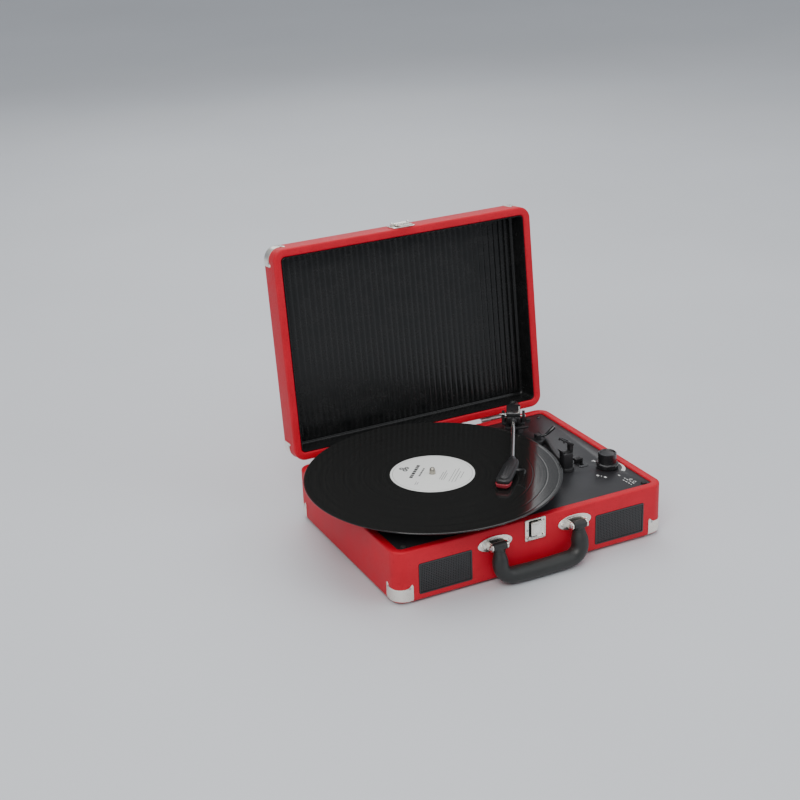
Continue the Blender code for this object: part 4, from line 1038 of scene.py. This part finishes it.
def tonearm():
    dress("tonearm_base", BLACK, 0.6, 3, 35)
    dress("lift_bar", BLACK, 0.4, 3, 35)
    cue = frame((116.5, 42, 73))
    stalk = sweep([(-6, 0, 0), (5.5, 0, 0), (7.5, -0.6, 1), (10.5, -1.6, 3.8), (16.5, -3.5, 9.5),
        (17.4, -3.8, 10.4)], [1.6, 1.6, 1.8, 2.3, 2.5, 1.6], GLOSS, cue, 16, 0.8, name="stalk")
    finish(stalk, "cue_lever", "black_plastic", "lift_lever")
    dress("arm_pivot", BLACK, 0.5, 3, 35)
    swing = frame((*ARM_XY, 0), (0, 0, ARM_TURN))
    tops = [screw(swing @ facing((k * 14.4, 0, ARM_AXLE_Z), (k, 0, 0)), 2.6, STEEL, 0.9)
        for k in (-1, 1)]
    tops.append(turned([(0, 2), (11.6, 2), (12.4, 1.4), (12.4, 0), (0, 0)], GLOSS,
        swing @ frame((0, 0, 78.9)), 40))
    assemble("swivel_fittings", tops, "arm_swivel", "steel")
    slope, radius = 0.027, 2.4
    body = block((-8.5, -16, -4.2), (8.5, 20, 4.2), BLACK, TILT, 2, 0.8, 3)
    cover = block((-8.7, -14.5, 3.6), (8.7, 16, 9), BLACK, TILT, 1.2, 0.6, 3)
    plate = block((-7.6, -13.6, 8.6), (7.6, -5.5, 9.5), STEEL, TILT, 0.8, 0.3, 2)
    stick = sweep([(7.2, -8, 8.6), (7.2, -8, 15.4), (7.2, -8, 16)], [0.95, 0.95, 0.5], NICKEL,
        TILT, 14)
    axle = joined("axle", sweep([(-14.2, 0, 0), (14.2, 0, 0)], 1.5, STEEL, TILT, 16),
        sweep([(-8.3, -10, 6.5), (-17, -10, 6.5), (-17.6, -10, 6.5)], [0.7, 0.7, 0.4], STEEL, TILT,
        12))
    socket = turned([(0, 6), (3.4, 6), (3.9, 5.4), (4.3, 0), (0, 0)], BLACK, TILT @ front(0, -15.5,
        0.4), 24)
    weight = turned([(0, 17.4), (5.6, 17.4), (6.8, 16.4), (7, 15.6), (7, 12.4), (6.5, 12),
        (7, 11.6), (7, 8), (6.5, 7.6), (7, 7.2), (7, 1.6), (6.4, 0.4), (4, 0), (0, 0)], GLOSS,
        TILT @ rear(0, 18.8, 0), 40)
    assemble("arm_carrier", [body, cover, plate, stick, axle, socket,
        weight], "arm", "black_plastic")
    end, long = 152, 48
    tube = sweep([(0, -y, y * slope) for y in (6, 40, 80, 120, end)], radius, CHROME, TILT, 28,
        name="arm_tube_bright")
    finish(tube, "arm", "steel", "arm_tube")
    head_z = 175.1 * slope
    neck = turned([(0, 17), (3.6, 17), (4.6, 15.6), (5, 8), (4.6, 1.4), (3.6, 0.2), (3, 0),
        (0, 0)], BLACK, TILT @ front(0, -end + 14, 150 * slope), 28)
    outline = [(-4.2, 11), (-7, 4), (-8.8, -8), (-9.1, -42), (-7.6, -48.5), (-4.2, -51.5),
        (4.2, -51.5), (7.6, -48.5), (9.1, -42), (8.8, -8), (7, 4), (4.2, 11)]
    top = prism(outline, head_z - 1.4, head_z + 3.2, BLACK, HEAD, 1.5, 4)
    crest = prism([(x * 0.62, y * 0.86 - 2) for x, y in outline], head_z + 3, head_z + 4.4, BLACK,
        HEAD, 0.8, 3)
    rails = [sweep([(x, -14, head_z + 4.3), (x, -38, head_z + 4.3)], 0.55, BLACK, HEAD, 10)
        for x in (-3.2, 0, 3.2)]
    lift = sweep([(7.5, -16, head_z + 1), (12, -15.4, head_z + 1.2), (16.5, -16.4, head_z + 2.2),
        (19.4, -20, head_z + 2.6), (19.8, -26, head_z + 1.4)], [2, 1.9, 1.8, 1.7, 1.3], BLACK,
        HEAD, 14, 0.7)
    assemble("headshell_body", [neck, top, crest, lift,
        *rails], "arm", "black_plastic", "headshell")
    tip = 87.3 - ARM_AXLE_Z
    cart = block((-7.4, -long - 2.4, tip + 3.6), (7.4, -long + 21, head_z - 1.2), GLOSS, HEAD, 1.6,
        0.7, 3)
    step = block((-5.4, -long + 1.8, tip + 2.9), (5.4, -long + 18.3, tip + 4), BLACK, HEAD, 1.2,
        0.3, 2)
    assemble("cartridge_body", [cart, step], "arm", "black_plastic", "cartridge")
    wedge = [(-6.6, -long + 12.5), (-6.6, -long - 1), (-4.8, -long - 4.2), (4.8, -long - 4.2),
        (6.6, -long - 1), (6.6, -long + 12.5)]
    holder = prism(wedge, tip + 1.3, tip + 3.6, STYLUS_RED, HEAD, 0.7, 3)
    rim = [(-8.6, -long + 10), (-8.6, -long - 1.6), (-6.4, -long - 5.6), (6.4, -long - 5.6),
        (8.6, -long - 1.6), (8.6, -long + 10), (7.2, -long + 10), (7.2, -long - 1),
        (5.6, -long - 3.4), (-5.6, -long - 3.4), (-7.2, -long - 1), (-7.2, -long + 10)]
    chin = prism(rim[::-1], tip + 3.2, tip + 6.6, STYLUS_RED, HEAD, 0.5, 3)
    shank = sweep([(0, -long + 3.8, tip + 1.5), (0, -long, tip + 0.9)], [0.35, 0.28], STEEL, HEAD,
        8)
    point = sweep([(0, -long, tip + 1.4), (0, -long, tip + 0.05)], [0.34, 0.12], WHITE_INK, HEAD, 8)
    assemble("stylus_holder", [holder, chin, shank, point], "arm", "stylus_red", "stylus")
    arm_rest()


def arm_rest():
    x, y = 100, -40
    post = block((x - 6.5, y - 6, DECK_Z + 4), (x + 7.5, y + 6, 87), BLACK, None, 3.2, 0.8, 3)
    foot = turned([(0, 5), (9, 4.6), (9.5, 3.8), (9.5, 0.3), (0, 0.3)], BLACK,
        frame((x + 0.5, y, DECK_Z)), 36)
    lip = prism([(-6.6, 84.5), (-3.7, 84.5), (-3.5, 88), (-6.2, 90.8), (-9.2, 92.4), (-9.6, 91.4),
        (-7.4, 88.6)], -3.5, 3.5, BLACK, frame((x, y, 0), (90, 0, 0)), 0.5, 2)
    hook = prism([(3.6, 84.5), (7.6, 84.5), (8, 92), (8.2, 97.4), (7.4, 99), (5.8, 99.6),
        (4.2, 99), (3.5, 97.4), (3.7, 90)], -3.5, 3.5, BLACK, frame((x, y, 0), (90, 0, 0)), 0.5, 2)
    cup = prism([(-4, 85), (4, 85), (4, 88.4), (2.4, 87.4), (0, 87), (-2.4, 87.4), (-4, 88.4)], -3,
        3, RUBBER, frame((x, y, 0), (90, 0, 0)), 0.2, 2)
    bolt = sweep([(x + 5.8, y - 4, 97.4), (x + 5.8, y + 4, 97.4)], 0.9, STEEL, None, 14)
    assemble("rest_post", [post, foot, lip, hook, cup, bolt], "base", "black_plastic", "arm_rest")
    clip = frame((x + 5.8, y, 97.4), (0, -146, 0))
    bits = []
    for k in (-1, 1):
        outline = arc(0, 0, 1.8, 90, 270, 11) + [(12.6, -1.1), (14, -0.4), (14, 2.6), (12.9, 3.3),
            (12.2, 2.6), (12, 1.1)]
        bits.append(prism(outline, k * 5 - 0.8, k * 5 + 0.8, BLACK, clip @ front(0, 0, 0), 0.3, 2))
    bits.append(sweep([(13.2, -5.4, 0.6), (13.2, 5.4, 0.6)], 1.2, BLACK, clip, 12))
    bits.append(sweep([(0, -5.6, 0), (0, 5.6, 0)], 0.85, STEEL, clip, 12))
    assemble("rest_clip", bits, "clip", "black_plastic", "arm_clip")


def back():
    dress("socket_panel", BLACK, 0.3)
    y, z = HALF_D + 2.1, 34
    bits = []
    for x, look in ((-62, RCA_RED), (-46, RCA_WHITE)):
        bits.append(turned([(4.3, 3.6), (5.6, 3.4), (5.9, 2.8), (5.9, 0), (4.3, 0), (4.3, 3.6)],
            look, rear(x, y, z), 32))
        bits.append(turned([(1.9, 6.6), (3.9, 6.6), (4.25, 6.2), (4.25, 0), (1.9, 0), (1.9, 6.6)],
            NICKEL, rear(x, y, z), 32))
    for x in (-29, -17):
        nut = [(1.85, 1.6), (2.6, 1.6), (3.4, 1.3), (3.6, 0.8), (3.6, 0), (1.85, 0), (1.85, 1.6)]
        bits.append(turned(nut, NICKEL, rear(x, y, z), 28))
    bits.append(turned([(3.05, 0.9), (4.6, 0.9), (5, 0.5), (5, 0), (3.05, 0), (3.05, 0.9)], GLOSS,
        rear(7, y, z), 32))
    bits.append(sweep([(7, y - 9.5, z), (7, y - 1, z)], 0.95, NICKEL, None, 14))
    bits.append(prism(rounded(4.9, 5.3, 0.6, 3, 4.25, -0.5), -0.2, 0.7, NICKEL, rear(0, y, z),
        0.15, 2, [rounded(4.2, 4.6, 0.3, 3, 4.25, -0.5)]))
    bits.append(block((-7, y - 10.5, z + 0.6), (-1.5, y - 1, z + 2.4), WHITE_INK, None, 0.3, 0.2))
    for x in (-72.5, 12.6):
        for dz in (-10, 10):
            bits.append(screw(rear(x, y, z + dz), 1.6, STEEL, 0.7))
    assemble("socket_fittings", bits, "base", "chrome")
    dress("circuit_board", CIRCUIT, 0)
    for name, side in SIDES:
        dress("hinge_base_leaf_" + name, DULL, 0.25)
        dress("hinge_lid_leaf_" + name, DULL, 0.25)
        dress("hinge_pin_" + name, STEEL, 0.3)
        for body, place, y, z in (("base", Matrix(), HALF_D, 51), ("lid", LID, LID_NEAR, 16)):
            heads = [screw(place @ rear(side * 105 + dx, y + 1.6, z), 2.2, STEEL, 0.8)
                for dx in (-13, 0, 13)]
            assemble("hinge_%s_screws_%s" % (body, name), heads, body, "steel")


def studio():
    bm = bmesh.new()
    loops = [[Vector((r * cos(tau * k / 96), r * sin(tau * k / 96), h)) for k in range(96)] for r,
        h in ((0.001, 0), (0.5, 0), (2, 0), (6, 0), (14, 0), (20, 0.4), (24, 2), (26, 5))]
    rings(bm, loops, close_ends=False)
    floor = from_bmesh("floor", bm, floor_finish(), None, 180)
    if floor.data.polygons[0].normal.z < 0:
        floor.data.flip_normals()
    world = bpy.data.worlds.new("studio")
    world.use_nodes = True
    world.node_tree.nodes["Background"].inputs["Color"].default_value = (0.84, 0.87, 0.92, 1)
    world.node_tree.nodes["Background"].inputs["Strength"].default_value = 0.55
    bpy.context.scene.world = world
    for name, spot, size, power, colour in (("key", (-1.3, -1.5, 2.1), 1.6, 42, (1, 0.98, 0.95)),
            ("fill", (1.9, -1.4, 1.5), 2, 16, (0.95, 0.97, 1)), ("top", (0.2, 0.5, 2.4), 2.2, 26,
            (1, 1, 1)), ("rear", (0.6, 2.2, 1.6), 1.6, 14, (1, 1, 1))):
        lamp = bpy.data.lights.new(name, "AREA")
        lamp.shape, lamp.size, lamp.energy, lamp.color = "SQUARE", size, power, colour
        obj = bpy.data.objects.new(name, lamp)
        obj.location = spot
        obj.rotation_euler = (Vector((0, 0,
            0.1)) - Vector(spot)).to_track_quat("-Z", "Y").to_euler()
        link(obj, None)


def camera():
    """The view: from the front left, a little above; lens and shift are worked out for an 800 x 800
    frame.
    """
    data = bpy.data.cameras.new("view")
    frame_width, focal_length, centre_shift = 800, 1472.9, 55      # pixels
    data.sensor_width, data.lens = 36, 36 * focal_length / frame_width
    data.shift_x, data.shift_y = centre_shift / frame_width, 0
    data.clip_start, data.clip_end = 0.05, 60
    obj = bpy.data.objects.new("view", data)
    right, up, ahead = Vector((0.90578, -0.42096, -0.04859)), Vector((0.20128, 0.32651,
        0.92351)), Vector((0.3729, 0.84628, -0.38048))
    turn = Matrix((right, up, -ahead)).transposed().to_4x4()
    obj.matrix_world = Matrix.Translation((-0.77981, -1.39328, 0.82458)) @ turn
    link(obj, None)
    bpy.context.scene.camera = obj


base()
lid()
guards()
grilles()
latch()
lid_catch()
brackets()
handle()
turntable()
deck()
tonearm()
back()
studio()
camera()
